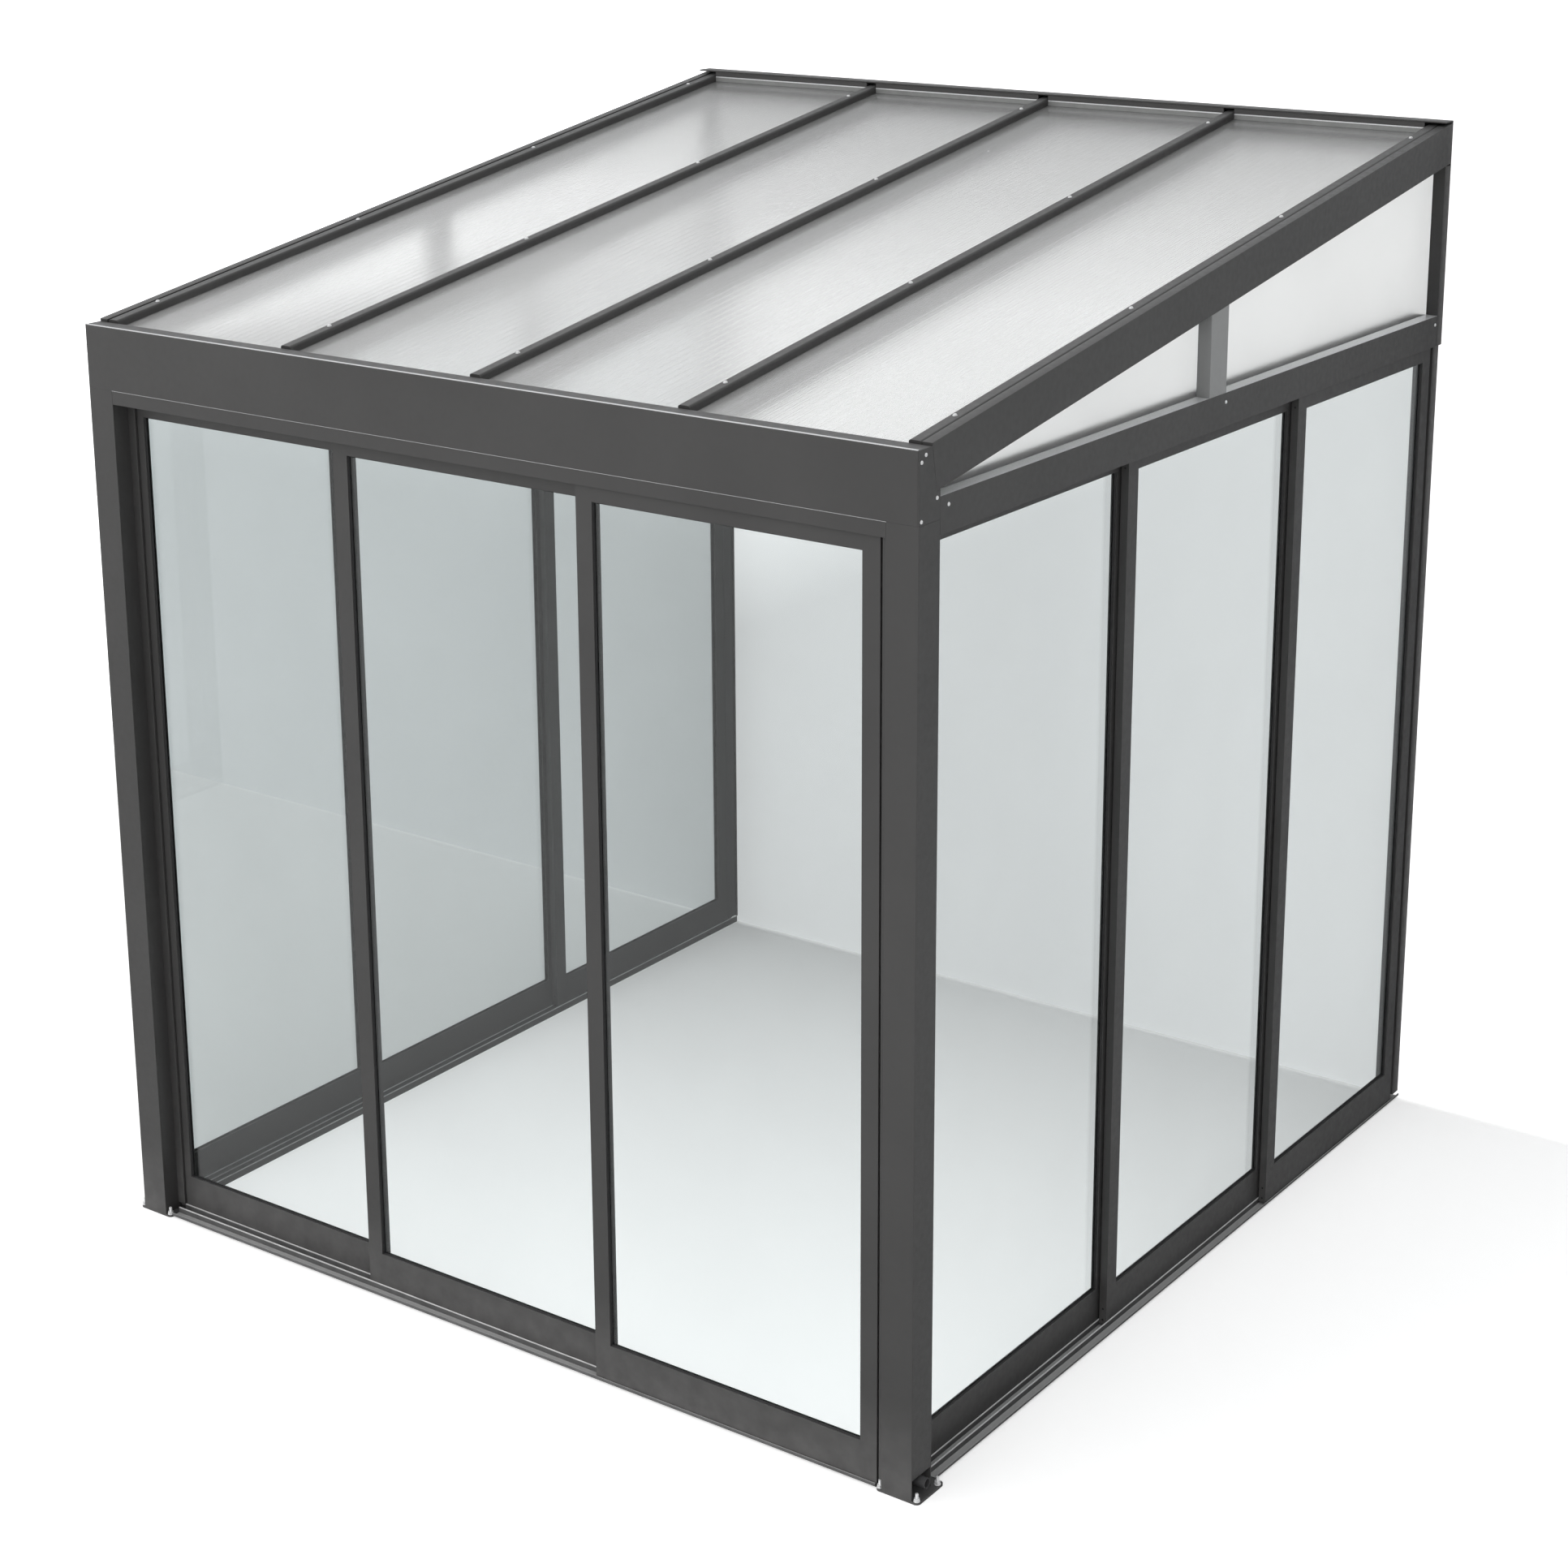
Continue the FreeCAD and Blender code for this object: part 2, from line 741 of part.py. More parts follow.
def bar_drills(number):
    """Screw holes through a cap into the bar below it."""
    radius = dim.roof_screw_shank / 2 + dim.screw_clearance
    depth = dim.roof_screw_length + dim.screw_clearance
    drills = [cylinder(f"bar_{number}_drill_{count}", radius, 2 * depth,
                       on_roof(bar_place(number), along, -depth), tilted=True)
              for count, along in enumerate(screw_places(), start=1)]
    return group(f"bar_{number}_drills", drills)


drills = [bar_drills(number) for number in range(ROOF_BARS)]


def rafter(side, sign, number):
    """The roof's edge: a tall box, an outer strip level with the cap, a seat for the sheet."""
    wide, deep, wall = dim.rafter_width, dim.bar_depth, dim.bar_wall
    strip, thick = dim.rafter_strip, dim.bar_flange_thickness
    shoulder = dim.edge_bar_inset + dim.bar_upstand / 2
    ledge = wide + dim.rafter_ledge
    outline = [(0, 0), (strip, 0), (strip, -dim.cap_height), (shoulder, -dim.cap_height),
               (shoulder, -sheet_seat), (ledge, -sheet_seat), (ledge, -sheet_seat - thick),
               (wide, -sheet_seat - thick), (wide, -deep), (0, -deep)]
    chamber = rectangle(wall, wall - deep, wide - wall, -sheet_seat - thick)
    loops = [turned(outline, sign), turned(chamber, sign)]
    bar = extrude(f"{side}_rafter_bar", "XZ_Plane", loops, roof_reach,
                  on_roof(-sign * half, size_of(0), size_of(0)), tilted=True)
    drilled = cut(f"{side}_rafter_drilled", bar, drills[number])
    keep(f"{side}_rafter", cut(f"{side}_rafter", drilled, house))


def roof_bar(number):
    """A box with a flange for the sheets and an upstand for the cap's screws."""
    stem, flange, body_half = dim.bar_upstand / 2, dim.bar_flange / 2, dim.bar_box / 2
    seat, under, deep = -sheet_seat, -sheet_seat - dim.bar_flange_thickness, -dim.bar_depth
    right = [(body_half, deep), (body_half, under), (flange, under), (flange, seat),
             (stem, seat), (stem, -dim.cap_height)]
    left = [(-x, z) for x, z in reversed(right)]
    chamber = rectangle(dim.bar_wall - body_half, deep + dim.bar_wall,
                        body_half - dim.bar_wall, under)
    bar = extrude(f"roof_bar_{number}_bar", "XZ_Plane", [right + left, chamber], roof_reach,
                  on_roof(bar_place(number), size_of(0), size_of(0)), tilted=True)
    drilled = cut(f"roof_bar_{number}_drilled", bar, drills[number])
    keep(f"roof_bar_{number}", cut(f"roof_bar_{number}", drilled, house))


def bar_cap(number):
    """A channel turned down over the edges of two sheets, closed at its front end."""
    reach, wall = dim.cap_width / 2, dim.cap_wall
    low = -dim.cap_height
    outline = [(-reach, 0), (-reach, low), (wall - reach, low), (wall - reach, -wall),
               (reach - wall, -wall), (reach - wall, low), (reach, low), (reach, 0)]
    cap = extrude(f"bar_cap_{number}_bar", "XZ_Plane", [outline], roof_reach,
                  on_roof(bar_place(number), dim.cap_setback, size_of(0)), tilted=True)
    start = dim.cap_setback
    plate = box(f"bar_cap_{number}_end", (bar_place(number) - reach, start, low),
                (bar_place(number) + reach, start + wall, size_of(0)), tilted=True)
    closed = fuse(f"bar_cap_{number}_closed", [cap, plate])
    drilled = cut(f"bar_cap_{number}_drilled", closed, drills[number])
    return cut(f"bar_cap_{number}", drilled, house)


def roof_sheet(number):
    """One twin-wall sheet between two bars, from under the gutter's flange to the wall."""
    name = f"roof_sheet_{number + 1}"
    margin = dim.bar_upstand / 2 + dim.sheet_gap
    sheet_width = bar_spacing - 2 * margin
    cell = sheet_width / SHEET_CELLS
    skin = dim.sheet_skin
    slab = extrude(name + "_slab", "XZ_Plane",
                   [rectangle(0, -sheet_seat, sheet_width, -dim.cap_height)],
                   roof_reach + dim.sheet_overhang,
                   on_roof(bar_place(number) + margin, -dim.sheet_overhang, size_of(0)),
                   tilted=True)
    doc.recompute()
    sketch = sketch_on(slab, "XZ_Plane", name + "_cell")
    draw_loop(sketch, rectangle(skin, skin - sheet_seat, cell - skin, -dim.cap_height - skin))
    pocket = slab.newObject("PartDesign::Pocket", name + "_channel")
    pocket.Profile = sketch
    pocket.Type = "ThroughAll"
    doc.recompute()
    channels = slab.newObject("PartDesign::LinearPattern", name + "_channels")
    channels.Originals = [pocket]
    channels.Direction = (sketch, ["H_Axis"])
    channels.Occurrences = SHEET_CELLS
    bind(channels, "Length", (SHEET_CELLS - 1) * cell)
    slab.Tip = channels
    keep(name, cut(name, slab, house))


def roof_screw(name, x, along):
    head = cylinder(name + "_head", dim.roof_screw_head / 2, dim.roof_screw_head_height,
                    on_roof(x, along, size_of(0)), tilted=True)
    shank = cylinder(name + "_shank", dim.roof_screw_shank / 2, dim.roof_screw_length,
                     on_roof(x, along, -dim.roof_screw_length), tilted=True)
    return fuse(name, [head, shank])


rafter("left", 1, 0)
rafter("right", -1, ROOF_BARS - 1)
for bar_number in range(1, ROOF_BARS - 1):
    roof_bar(bar_number)
keep("bar_caps", group("bar_caps", [bar_cap(number) for number in range(ROOF_BARS)]))
for sheet_number in range(ROOF_BARS - 1):
    roof_sheet(sheet_number)
keep("roof_screws", group("roof_screws", [
    roof_screw(f"roof_screw_{number}_{count}", bar_place(number), along)
    for number in range(ROOF_BARS)
    for count, along in enumerate(screw_places(), start=1)]))


# Gables: a mullion and two panes between each side header and its rafter

def gable_face(start, end):
    return [(start, side_header_top), (end, side_header_top), (end, rafter_underside(end)),
            (start, rafter_underside(start))]


mullion_depth = dim.gable_pane_inset
mullions = []
for side_name, side_sign in SIDES:
    middle = (front + rear) / 2
    joint = dim.gable_pane_joint / 2
    spans = ((front + dim.post_side, middle - joint),
             (middle + joint, rear - dim.wall_plate_web))
    inset = dim.gable_pane_inset
    thick = dim.gable_pane_thickness
    pane_x = inset - half if side_sign > 0 else half - inset - thick
    mullion_x = -half if side_sign > 0 else half - mullion_depth
    keep(f"{side_name}_gable_panes", group(f"{side_name}_gable_panes", [
        extrude(f"{side_name}_gable_pane_{count}", "YZ_Plane", [gable_face(*span)], thick,
                (pane_x, size_of(0), size_of(0)))
        for count, span in enumerate(spans, start=1)]))
    mullions.append(extrude(
        f"{side_name}_gable_mullion", "YZ_Plane",
        [gable_face(middle - dim.mullion_width / 2, middle + dim.mullion_width / 2)],
        mullion_depth, (mullion_x, size_of(0), size_of(0))))
keep("gable_mullions", group("gable_mullions", mullions))


# Sliding panels and the jambs that they close against

panel_low = dim.panel_floor_gap
panel_high = head_height + dim.panel_head_lap
front_start = dim.post_side + dim.closing_gap - half
front_end = half - dim.post_side - dim.post_buffer - dim.post_closing_gap
side_start = front + dim.post_side + dim.side_jamb_width + dim.closing_gap
side_end = wall_post_face - dim.wall_closing_gap
RUNS = {
    "front": (front_start, front_end),
    "left": (side_start, side_end),
    "right": (side_start, side_end),
}
MIDDLES = {
    "front": (dim.front_middle_place, dim.front_middle_width / 2),
    "left": (dim.left_middle_place, dim.side_middle_width / 2),
    "right": (dim.right_middle_place, dim.side_middle_width / 2),
}


def panel_spans(wall):
    """Runs of a wall's panels: the outer two fill the run and lap the middle one."""
    start, end = RUNS[wall]
    centre, reach = MIDDLES[wall]
    near, far = centre - reach, centre + reach
    return (start, near + dim.panel_lap), (near, far), (far - dim.panel_lap, end)


def track_faces(track):
    """Outer and inner face of a panel on a track, counted from the outermost."""
    outer = dim.track_inset + track * dim.track_pitch
    return outer, outer + dim.panel_thickness


def panel(wall, order):
    """A framed pane: two stiles, two rails, the glass in their grooves, and its glides."""
    name = f"{wall}_{PANEL_NAMES[wall][order]}"
    near, far = panel_spans(wall)[order]
    outer, inner = track_faces(PANEL_TRACKS[wall][order])
    stile = dim.stile_width
    sight = (near + stile, far - stile)
    sight_heights = (panel_low + dim.bottom_rail, panel_high - dim.top_rail)
    bite = dim.pane_bite
    middle = (outer + inner) / 2
    slot = dim.pane_thickness / 2 + dim.pane_seal
    edge = bite - dim.pane_edge_gap
    glass = dim.pane_thickness / 2
    groove = box(name + "_groove", *in_wall(
        wall, (sight[0] - bite, sight[1] + bite), (middle - slot, middle + slot),
        (sight_heights[0] - bite, sight_heights[1] + bite)))
    members = {
        "near_stile": ((near, sight[0]), (panel_low, panel_high)),
        "far_stile": ((sight[1], far), (panel_low, panel_high)),
        "bottom_rail": (sight, (panel_low, sight_heights[0])),
        "top_rail": (sight, (sight_heights[1], panel_high)),
    }
    thin = dim.member_wall
    full_height = (panel_low - thin, panel_high + thin)
    full_run = (sight[0] - thin, sight[1] + thin)
    chambers = {
        "near_stile": ((near + thin, sight[0] - bite - thin), full_height),
        "far_stile": ((sight[1] + bite + thin, far - thin), full_height),
        "bottom_rail": (full_run, (panel_low + thin, sight_heights[0] - bite - thin)),
        "top_rail": (full_run, (sight_heights[1] + bite + thin, panel_high - thin)),
    }
    bars = []
    for member, (along, heights) in members.items():
        bar = box(f"{name}_{member}_bar", *in_wall(wall, along, (outer, inner), heights))
        run, rise = chambers[member]
        chamber = box(f"{name}_{member}_chamber",
                      *in_wall(wall, run, (outer + thin, inner - thin), rise))
        hollow = group(f"{name}_{member}_hollow", [groove, chamber])
        bars.append(cut(f"{name}_{member}", bar, hollow))
    keep(f"{name}_frame", group(f"{name}_frame", bars))
    keep(f"{name}_pane", box(f"{name}_pane", *in_wall(
        wall, (sight[0] - edge, sight[1] + edge), (middle - glass, middle + glass),
        (sight_heights[0] - edge, sight_heights[1] + edge))))
    glides(name, wall, (near, far), middle)


def glides(name, wall, span, middle):
    """Two shoes on the sill under a panel and two guides in the header above it."""
    near, far = span
    width = dim.glide_width / 2
    inset = (middle - width, middle + width)
    ceiling = post_top - dim.header_base
    levels = {
        "shoe": (dim.sill_base + dim.glide_clearance, panel_low),
        "guide": (panel_high, ceiling - dim.glide_clearance),
    }
    places = {
        "near": (near + dim.glide_offset, near + dim.glide_offset + dim.glide_length),
        "far": (far - dim.glide_offset - dim.glide_length, far - dim.glide_offset),
    }
    pieces = [box(f"{name}_{end}_{kind}", *in_wall(wall, along, inset, heights))
              for kind, heights in levels.items() for end, along in places.items()]
    keep(f"{name}_glides", group(f"{name}_glides", pieces))


for wall_name, order_names in PANEL_NAMES.items():
    for panel_order in range(len(order_names)):
        panel(wall_name, panel_order)

inner_track = track_faces(TRACKS - 1)
outer_track = track_faces(0)
rebate_plane = dim.post_side - dim.post_rebate
post_face = dim.post_side - half
closing_face = half - dim.post_side
side_jamb = (side_header_start, side_header_start + dim.side_jamb_width)
wall_side = side_end + dim.closing_gap
seal_inset = (outer_track[1] - dim.wall_seal_thickness, outer_track[1])
above_foot = (larger(dim.foot_thickness, dim.sill_base), post_top - dim.header_base)
above_anchor = (dim.foot_thickness + dim.anchor_rise + dim.closing_gap, above_foot[1])
between_ribs = (dim.sill_height + dim.closing_gap, head_height - dim.closing_gap)
rebate_jamb = fuse("front_rebate_jamb", [
    box("front_rebate_filler", *in_wall(
        "front", (rebate_plane - half, post_face), (rebate_plane, inner_track[1]), above_foot)),
    box("front_rebate_lip", *in_wall(
        "front", (post_face, post_face + dim.rebate_lip),
        (rebate_plane, inner_track[0] - dim.closing_gap), between_ribs))])
keep("closing_jambs", group("closing_jambs", [
    rebate_jamb,
    box("front_post_jamb", *in_wall(
        "front", (closing_face - dim.post_buffer, closing_face), outer_track, above_anchor)),
    box("left_front_jamb", *in_wall("left", side_jamb, outer_track, above_foot)),
    box("right_front_jamb", *in_wall("right", side_jamb, inner_track, above_foot)),
    box("left_wall_jamb", *in_wall(
        "left", (wall_side, rear - dim.wall_plate_web), inner_track, between_ribs)),
    box("right_wall_seal", *in_wall(
        "right", (wall_side, wall_post_face), seal_inset, between_ribs)),
]))


# Check every object, then write one file per sub-part

def check_document():
    doc.recompute()
    for item in doc.Objects:
        if "Invalid" in item.State or "Error" in item.State:
            raise RuntimeError(f"{item.Label} did not compute: {item.State}")
    for label, item in nodes.items():
        if item.Shape.isNull() or not item.Shape.isValid():
            raise RuntimeError(f"{label} has no valid shape")


def write_parts():
    os.makedirs("parts", exist_ok=True)
    for label, item in nodes.items():
        item.Shape.exportStep(f"parts/{label}.step")
    print(f"{len(nodes)} sub-parts written")


check_document()
write_parts()
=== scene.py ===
"""Looks of a lean-to conservatory with sliding glass walls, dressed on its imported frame."""

import json
import math

import bmesh
import bpy
from bpy.props import FloatProperty, FloatVectorProperty, IntProperty, PointerProperty
from mathutils import Euler, Matrix, Vector


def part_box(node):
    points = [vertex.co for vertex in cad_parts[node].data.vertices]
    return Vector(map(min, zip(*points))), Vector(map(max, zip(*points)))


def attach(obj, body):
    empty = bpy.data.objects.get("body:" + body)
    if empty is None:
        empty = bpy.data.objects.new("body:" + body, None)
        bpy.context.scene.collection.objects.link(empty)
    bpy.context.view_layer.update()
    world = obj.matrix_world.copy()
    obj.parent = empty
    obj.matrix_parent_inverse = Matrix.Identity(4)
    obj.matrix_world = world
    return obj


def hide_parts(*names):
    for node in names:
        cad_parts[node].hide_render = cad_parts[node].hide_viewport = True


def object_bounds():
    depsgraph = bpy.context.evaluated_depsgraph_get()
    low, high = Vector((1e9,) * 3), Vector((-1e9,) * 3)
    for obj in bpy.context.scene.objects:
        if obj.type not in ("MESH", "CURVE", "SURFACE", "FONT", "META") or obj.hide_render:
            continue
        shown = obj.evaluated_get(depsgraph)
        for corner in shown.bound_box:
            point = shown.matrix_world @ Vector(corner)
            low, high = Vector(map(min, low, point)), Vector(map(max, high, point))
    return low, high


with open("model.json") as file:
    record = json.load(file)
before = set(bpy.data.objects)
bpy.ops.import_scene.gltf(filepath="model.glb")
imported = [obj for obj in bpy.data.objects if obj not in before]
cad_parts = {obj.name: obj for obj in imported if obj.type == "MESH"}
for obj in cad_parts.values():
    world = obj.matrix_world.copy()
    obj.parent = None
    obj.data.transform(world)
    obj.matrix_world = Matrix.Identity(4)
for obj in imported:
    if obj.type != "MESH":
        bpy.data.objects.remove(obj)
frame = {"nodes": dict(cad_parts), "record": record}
cad_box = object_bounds()
nodes = frame["nodes"]
body_of = {
    node: body
    for body, members in frame["record"]["behaviour"]["bodies"].items()
    for node in members
}

bl_info = {
    "name": "Lean-to conservatory",
    "version": (1, 0, 0),
    "blender": (4, 5, 0),
    "location": "View3D > Sidebar > Conservatory",
    "description": "Dresses a lean-to conservatory with sliding glass walls",
    "category": "Add Mesh",
}

FRAME_PROFILES = (
    "left_post", "right_post", "foot_plates", "left_wall_post", "right_wall_post", "wall_plate",
    "gutter", "gutter_end_caps", "eaves_beam", "front_header", "left_header", "right_header",
    "left_rafter", "right_rafter", "roof_bar_1", "roof_bar_2", "roof_bar_3", "closing_jambs",
)
SILLS = ("front_sill", "left_sill", "right_sill")
ROOF_SHEETS = ("roof_sheet_1", "roof_sheet_2", "roof_sheet_3", "roof_sheet_4")
GABLE_PANES = ("left_gable_panes", "right_gable_panes")
PANELS = {
    "front": ("left", "middle", "right"),
    "left": ("front", "middle", "rear"),
    "right": ("front", "middle", "rear"),
}

# Fixed sizes, in metres

MM = 0.001
WELD = 0.01 * MM  # corners nearer than this are one
SHORTEST_ARRIS = 0.015  # shorter edges stay sharp
LOW_LIGHT_HEIGHT = 0.24  # height that the painted light low on front faces reaches
RIB_TOP = 0.02  # height of the sills' ribs
PLUG_HEIGHTS = (12 * MM, 42 * MM)  # from either end of a stile
STRIP_LEVELS = (21 * MM, 18 * MM, 4.5 * MM)  # below the wall plate's top
HEX_RADIUS, HEX_HEAD = 5.5 * MM, 3.5 * MM  # of the roof screws
BUTTON_HEAD = 2.5 * MM  # of the frame screws
THREAD_START, THREAD_END = 14.2 * MM, 25.4 * MM
PIPE_WALL = 2 * MM
WALL_GAP = 4 * MM  # between the object and the stage's wall
WALL_HEIGHT = 6.0
WALL_TOUCH = 0.03  # rays shorter than this pass the stage's wall

# Fixed values of light and colour

WHITE = (1.0, 1.0, 1.0, 1.0)
BLACK = (0.0, 0.0, 0.0, 1.0)
LOW_LIGHT_GAIN = 2.8  # how much paler the coat is under the painted light low on front faces
TOP_LIGHT_COVER = 0.7  # share of painted light on faces that look straight up
FLOOR_SHOWN = 0.5  # what the camera adds to its shade
FLOOR_AROUND = 0.2  # glow of the floor through glass, beside the object
FLOOR_TO_RIGHT = 0.09  # its growth per metre to the right
ROOF_RISE, HEADER_RISE = 0.494, 0.28  # lines on the wall, per metre to the right

# Glow of the stage through glass: two places, and the glow at each
FLOOR_GLOW = (cad_box[0].y, cad_box[1].y, 0.74, 0.17)
ROOM_GLOW = (2.4, cad_box[1].z, 0.53, 0.45)
RIGHT_GLOW = (0.0, cad_box[1].x, 0.0, 0.22)
ROOF_GLOW = (1.6, 1.9, 0.0, 0.24)
BESIDE_GLOW = (1.3, 2.0, 0.2, 0.5)
GABLE_GLOW = (2.58, 2.68, 0.0, 0.92)


# Settings that a user would change

def colour(title, text, value):
    return FloatVectorProperty(
        name=title, description=text, default=value, size=3, min=0, max=1, subtype="COLOR")


def length(title, text, value):
    return FloatProperty(name=title, description=text, default=value, min=0, unit="LENGTH")


def number(title, text, value, lowest=0):
    return FloatProperty(name=title, description=text, default=value, min=lowest)


def triple(title, text, value, kind):
    return FloatVectorProperty(name=title, description=text, default=value, size=3, subtype=kind)


class ConservatoryFinishes(bpy.types.PropertyGroup):
    """Colours of the finishes."""

    frame_coat: colour("Frame coat", "Powder coat of the frame", (0.0545, 0.0535, 0.053))
    mullion_coat: colour("Mullion coat", "Coat of the gable mullions", (0.28, 0.285, 0.285))
    sill_coat: colour("Sill coat", "Coat of the sills between the ribs", (0.075, 0.075, 0.075))
    # bare metal with a painted highlight, on the ribs' tops
    rib_metal_and_shine: colour("Rib tops", "Bare metal on the sills' ribs", (0.85, 0.85, 0.85))
    # painted light on the sills' faces that look up, the channels' floors among them
    sill_floor_light: colour("Sill wear", "Worn floors of the sills' channels", (0.55, 0.55, 0.55))
    # painted light: faces that look up are made lighter, as the light from above makes them
    painted_top_light: colour("Settled dust", "Dust on faces that look up", (0.1, 0.1, 0.1))
    # painted highlights on the gutter's and header's edges and under the wall plate, and painted
    # light on the headers before the gable panes
    bright_trim: colour("Bright trim", "Bare edges of gutter and headers", (0.75, 0.76, 0.77))
    sealing_strip: colour("Sealing strip", "Strips above the sheets", (0.24, 0.245, 0.24))
    sliding_glass: colour("Sliding glass", "Tint of the sliding panes", (0.76, 0.79, 0.79))
    fixed_pane: colour("Fixed panes", "Tint of the milky gable panes", (0.85, 0.855, 0.85))
    sheet_plastic: colour("Sheet plastic", "Tint of the roof sheets", (0.97, 0.975, 0.97))
    zinc_plate: colour("Zinc plate", "Plating of bolts and screws", (0.93, 0.94, 0.95))
    rubber: colour("Rubber", "Glazing beads and hole plugs", (0.012, 0.012, 0.013))
    nylon: colour("Nylon", "Glides under the panels", (0.03, 0.03, 0.03))
    pipe_plastic: colour("Pipe plastic", "Rainwater outlets", (0.06, 0.06, 0.062))


class ConservatoryDetails(bpy.types.PropertyGroup):
    """Sizes of the details that the solids leave plain."""

    arris: length("Arris", "Rounding of the profiles' edges", 0.0008)
    stile_width: length("Stile width", "Width of a panel's stiles", 0.046)
    bottom_rail: length("Bottom rail", "Height of a panel's bottom rail", 0.096)
    top_rail: length("Top rail", "Height of a panel's top rail", 0.050)
    glass_bite: length("Glass bite", "Depth of the glass in its groove", 0.008)
    groove_width: length("Groove width", "Width of the groove for the glass", 0.008)
    bead_reach: length("Bead reach", "How far a glazing bead covers the glass", 0.0035)
    cap_corner: length("Cap corner", "Rounding of the bar caps", 0.006)
    cap_wall: length("Cap wall", "Thickness of the bar caps", 0.0025)
    sheet_cells: IntProperty(
        name="Sheet cells", description="Channels across one roof sheet", default=24, min=1)
    sheet_groove: length("Sheet groove", "Depth of the lines between a sheet's channels", 0.0001)
    thread_pitch: length("Thread pitch", "Pitch of the anchor bolts' thread", 0.00125)


class ConservatoryStage(bpy.types.PropertyGroup):
    """Floor, backdrop, light and camera."""

    floor_size: length("Floor size", "Side of the floor", 60.0)
    sky: number("Sky", "Light from above", 1.15)
    horizon: number("Horizon", "Light from the sides", 0.72)
    lean: triple("Lean", "Side that the light favours", (-0.56, -0.34, 0.0), "XYZ")
    camera_place: triple(
        "Camera place", "Where the camera stands", (4.5457, -6.3622, 3.8348), "TRANSLATION")
    camera_turn: triple(
        "Camera turn", "How the camera is turned", (1.29629, 0.00462, 0.62238), "EULER")
    sensor: number("Sensor", "Width in millimetres", 36.0, lowest=1)
    lens: number("Lens", "Length in millimetres", 69.39, lowest=1)
    shift: number("Shift", "Vertical lens shift", -0.1196, lowest=-2)


# Node helpers

def set_inputs(tree, node, inputs):
    """Sets a node's inputs to values, or joins them to outputs."""
    for key, value in inputs.items():
        if isinstance(value, bpy.types.NodeSocket):
            tree.links.new(value, node.inputs[key])
        else:
            node.inputs[key].default_value = value


def add_node(tree, kind, inputs=None, **settings):
    made = tree.nodes.new(kind)
    for name, value in settings.items():
        setattr(made, name, value)
    set_inputs(tree, made, inputs or {})
    return made


def math_node(tree, operation, *values):
    made = add_node(tree, "ShaderNodeMath", dict(enumerate(values)), operation=operation)
    return made.outputs[0]


def parts_of(tree, vector):
    """The X, Y and Z of a vector."""
    return add_node(tree, "ShaderNodeSeparateXYZ", {0: vector}).outputs


def own_place(tree):
    """The piece's own coordinates, which are metres in the shared frame."""
    return add_node(tree, "ShaderNodeTexCoord").outputs["Object"]


def noise(tree, scale, detail=2.0):
    """Noise over the piece's own coordinates, in periods per metre."""
    made = add_node(tree, "ShaderNodeTexNoise", {
        "Vector": own_place(tree), "Scale": scale, "Detail": detail})
    return made.outputs["Fac"]


def ramp(tree, value, start, end, low, high, **settings):
    """Goes from low to high while a value goes from start to end."""
    made = add_node(tree, "ShaderNodeMapRange", {
        "Value": value, "From Min": start, "From Max": end, "To Min": low, "To Max": high},
        **settings)
    return made.outputs["Result"]


def spread(tree, value, low, high):
    """Maps noise around its middle to a range of values."""
    return ramp(tree, value, 0.3, 0.7, low, high)


def blend(tree, factor, low, high):
    made = add_node(tree, "ShaderNodeMix", {0: factor, 2: low, 3: high}, data_type="FLOAT")
    return made.outputs[0]


def blend_colours(tree, factor, low, high):
    made = add_node(tree, "ShaderNodeMix", data_type="RGBA")
    set_inputs(tree, made, {0: factor, 6: low, 7: high})
    return made.outputs[2]


def shade(rgb, factor=1.0):
    return tuple(min(1.0, part * factor) for part in rgb) + (1.0,)


def bump(tree, height, strength, distance):
    made = add_node(tree, "ShaderNodeBump", {
        "Height": height, "Strength": strength, "Distance": distance})
    return made.outputs["Normal"]


def new_finish(name, constants):
    """A material whose shader has the given constant values."""
    material = bpy.data.materials.new(name)
    material.use_nodes = True
    shader = material.node_tree.nodes["Principled BSDF"]
    set_inputs(material.node_tree, shader, constants)
    return material, material.node_tree, shader


# Finishes

def powder_coat(name, rgb, top_light=None):
    """Satin paint with grain, slow changes of tone, painted light in blotches low on front faces,
    and painted light on faces that look up.
    """
    material, tree, shader = new_finish(name, {"IOR": 1.45})
    slow = spread(tree, noise(tree, scale=3.0, detail=4.0), 0, 1)
    tone = blend_colours(tree, slow, shade(rgb, 0.92), shade(rgb, 1.09))
    # painted light: paler blotches on the low faces that look to the front
    low = ramp(tree, parts_of(tree, own_place(tree))["Z"], 0.0, LOW_LIGHT_HEIGHT, 1.0, 0.0)
    facing = parts_of(tree, add_node(tree, "ShaderNodeNewGeometry").outputs["Normal"])
    frontal = math_node(tree, "MAXIMUM", math_node(tree, "MULTIPLY", facing["Y"], -1.0), 0.0)
    lit_low_front = math_node(tree, "MULTIPLY", low, frontal)
    light_patches = math_node(tree, "MULTIPLY", lit_low_front, noise(tree, scale=22.0, detail=5.0))
    lit_low = blend_colours(tree, light_patches, tone, shade(rgb, LOW_LIGHT_GAIN))
    # painted light: faces that look up blend towards a paler colour, as the light from above would
    # make them
    lit_top = ramp(tree, facing["Z"], 0.75, 0.98, 0.0, TOP_LIGHT_COVER)
    if top_light is None:
        top_light = bpy.context.scene.conservatory_finishes.painted_top_light
    set_inputs(tree, shader, {
        "Base Color": blend_colours(tree, lit_top, lit_low, shade(top_light)),
        "Roughness": spread(tree, noise(tree, scale=60.0, detail=3.0), 0.38, 0.5),
        "Normal": bump(tree, noise(tree, scale=1400.0, detail=1.0), 0.25, 0.2 * MM)})
    return material


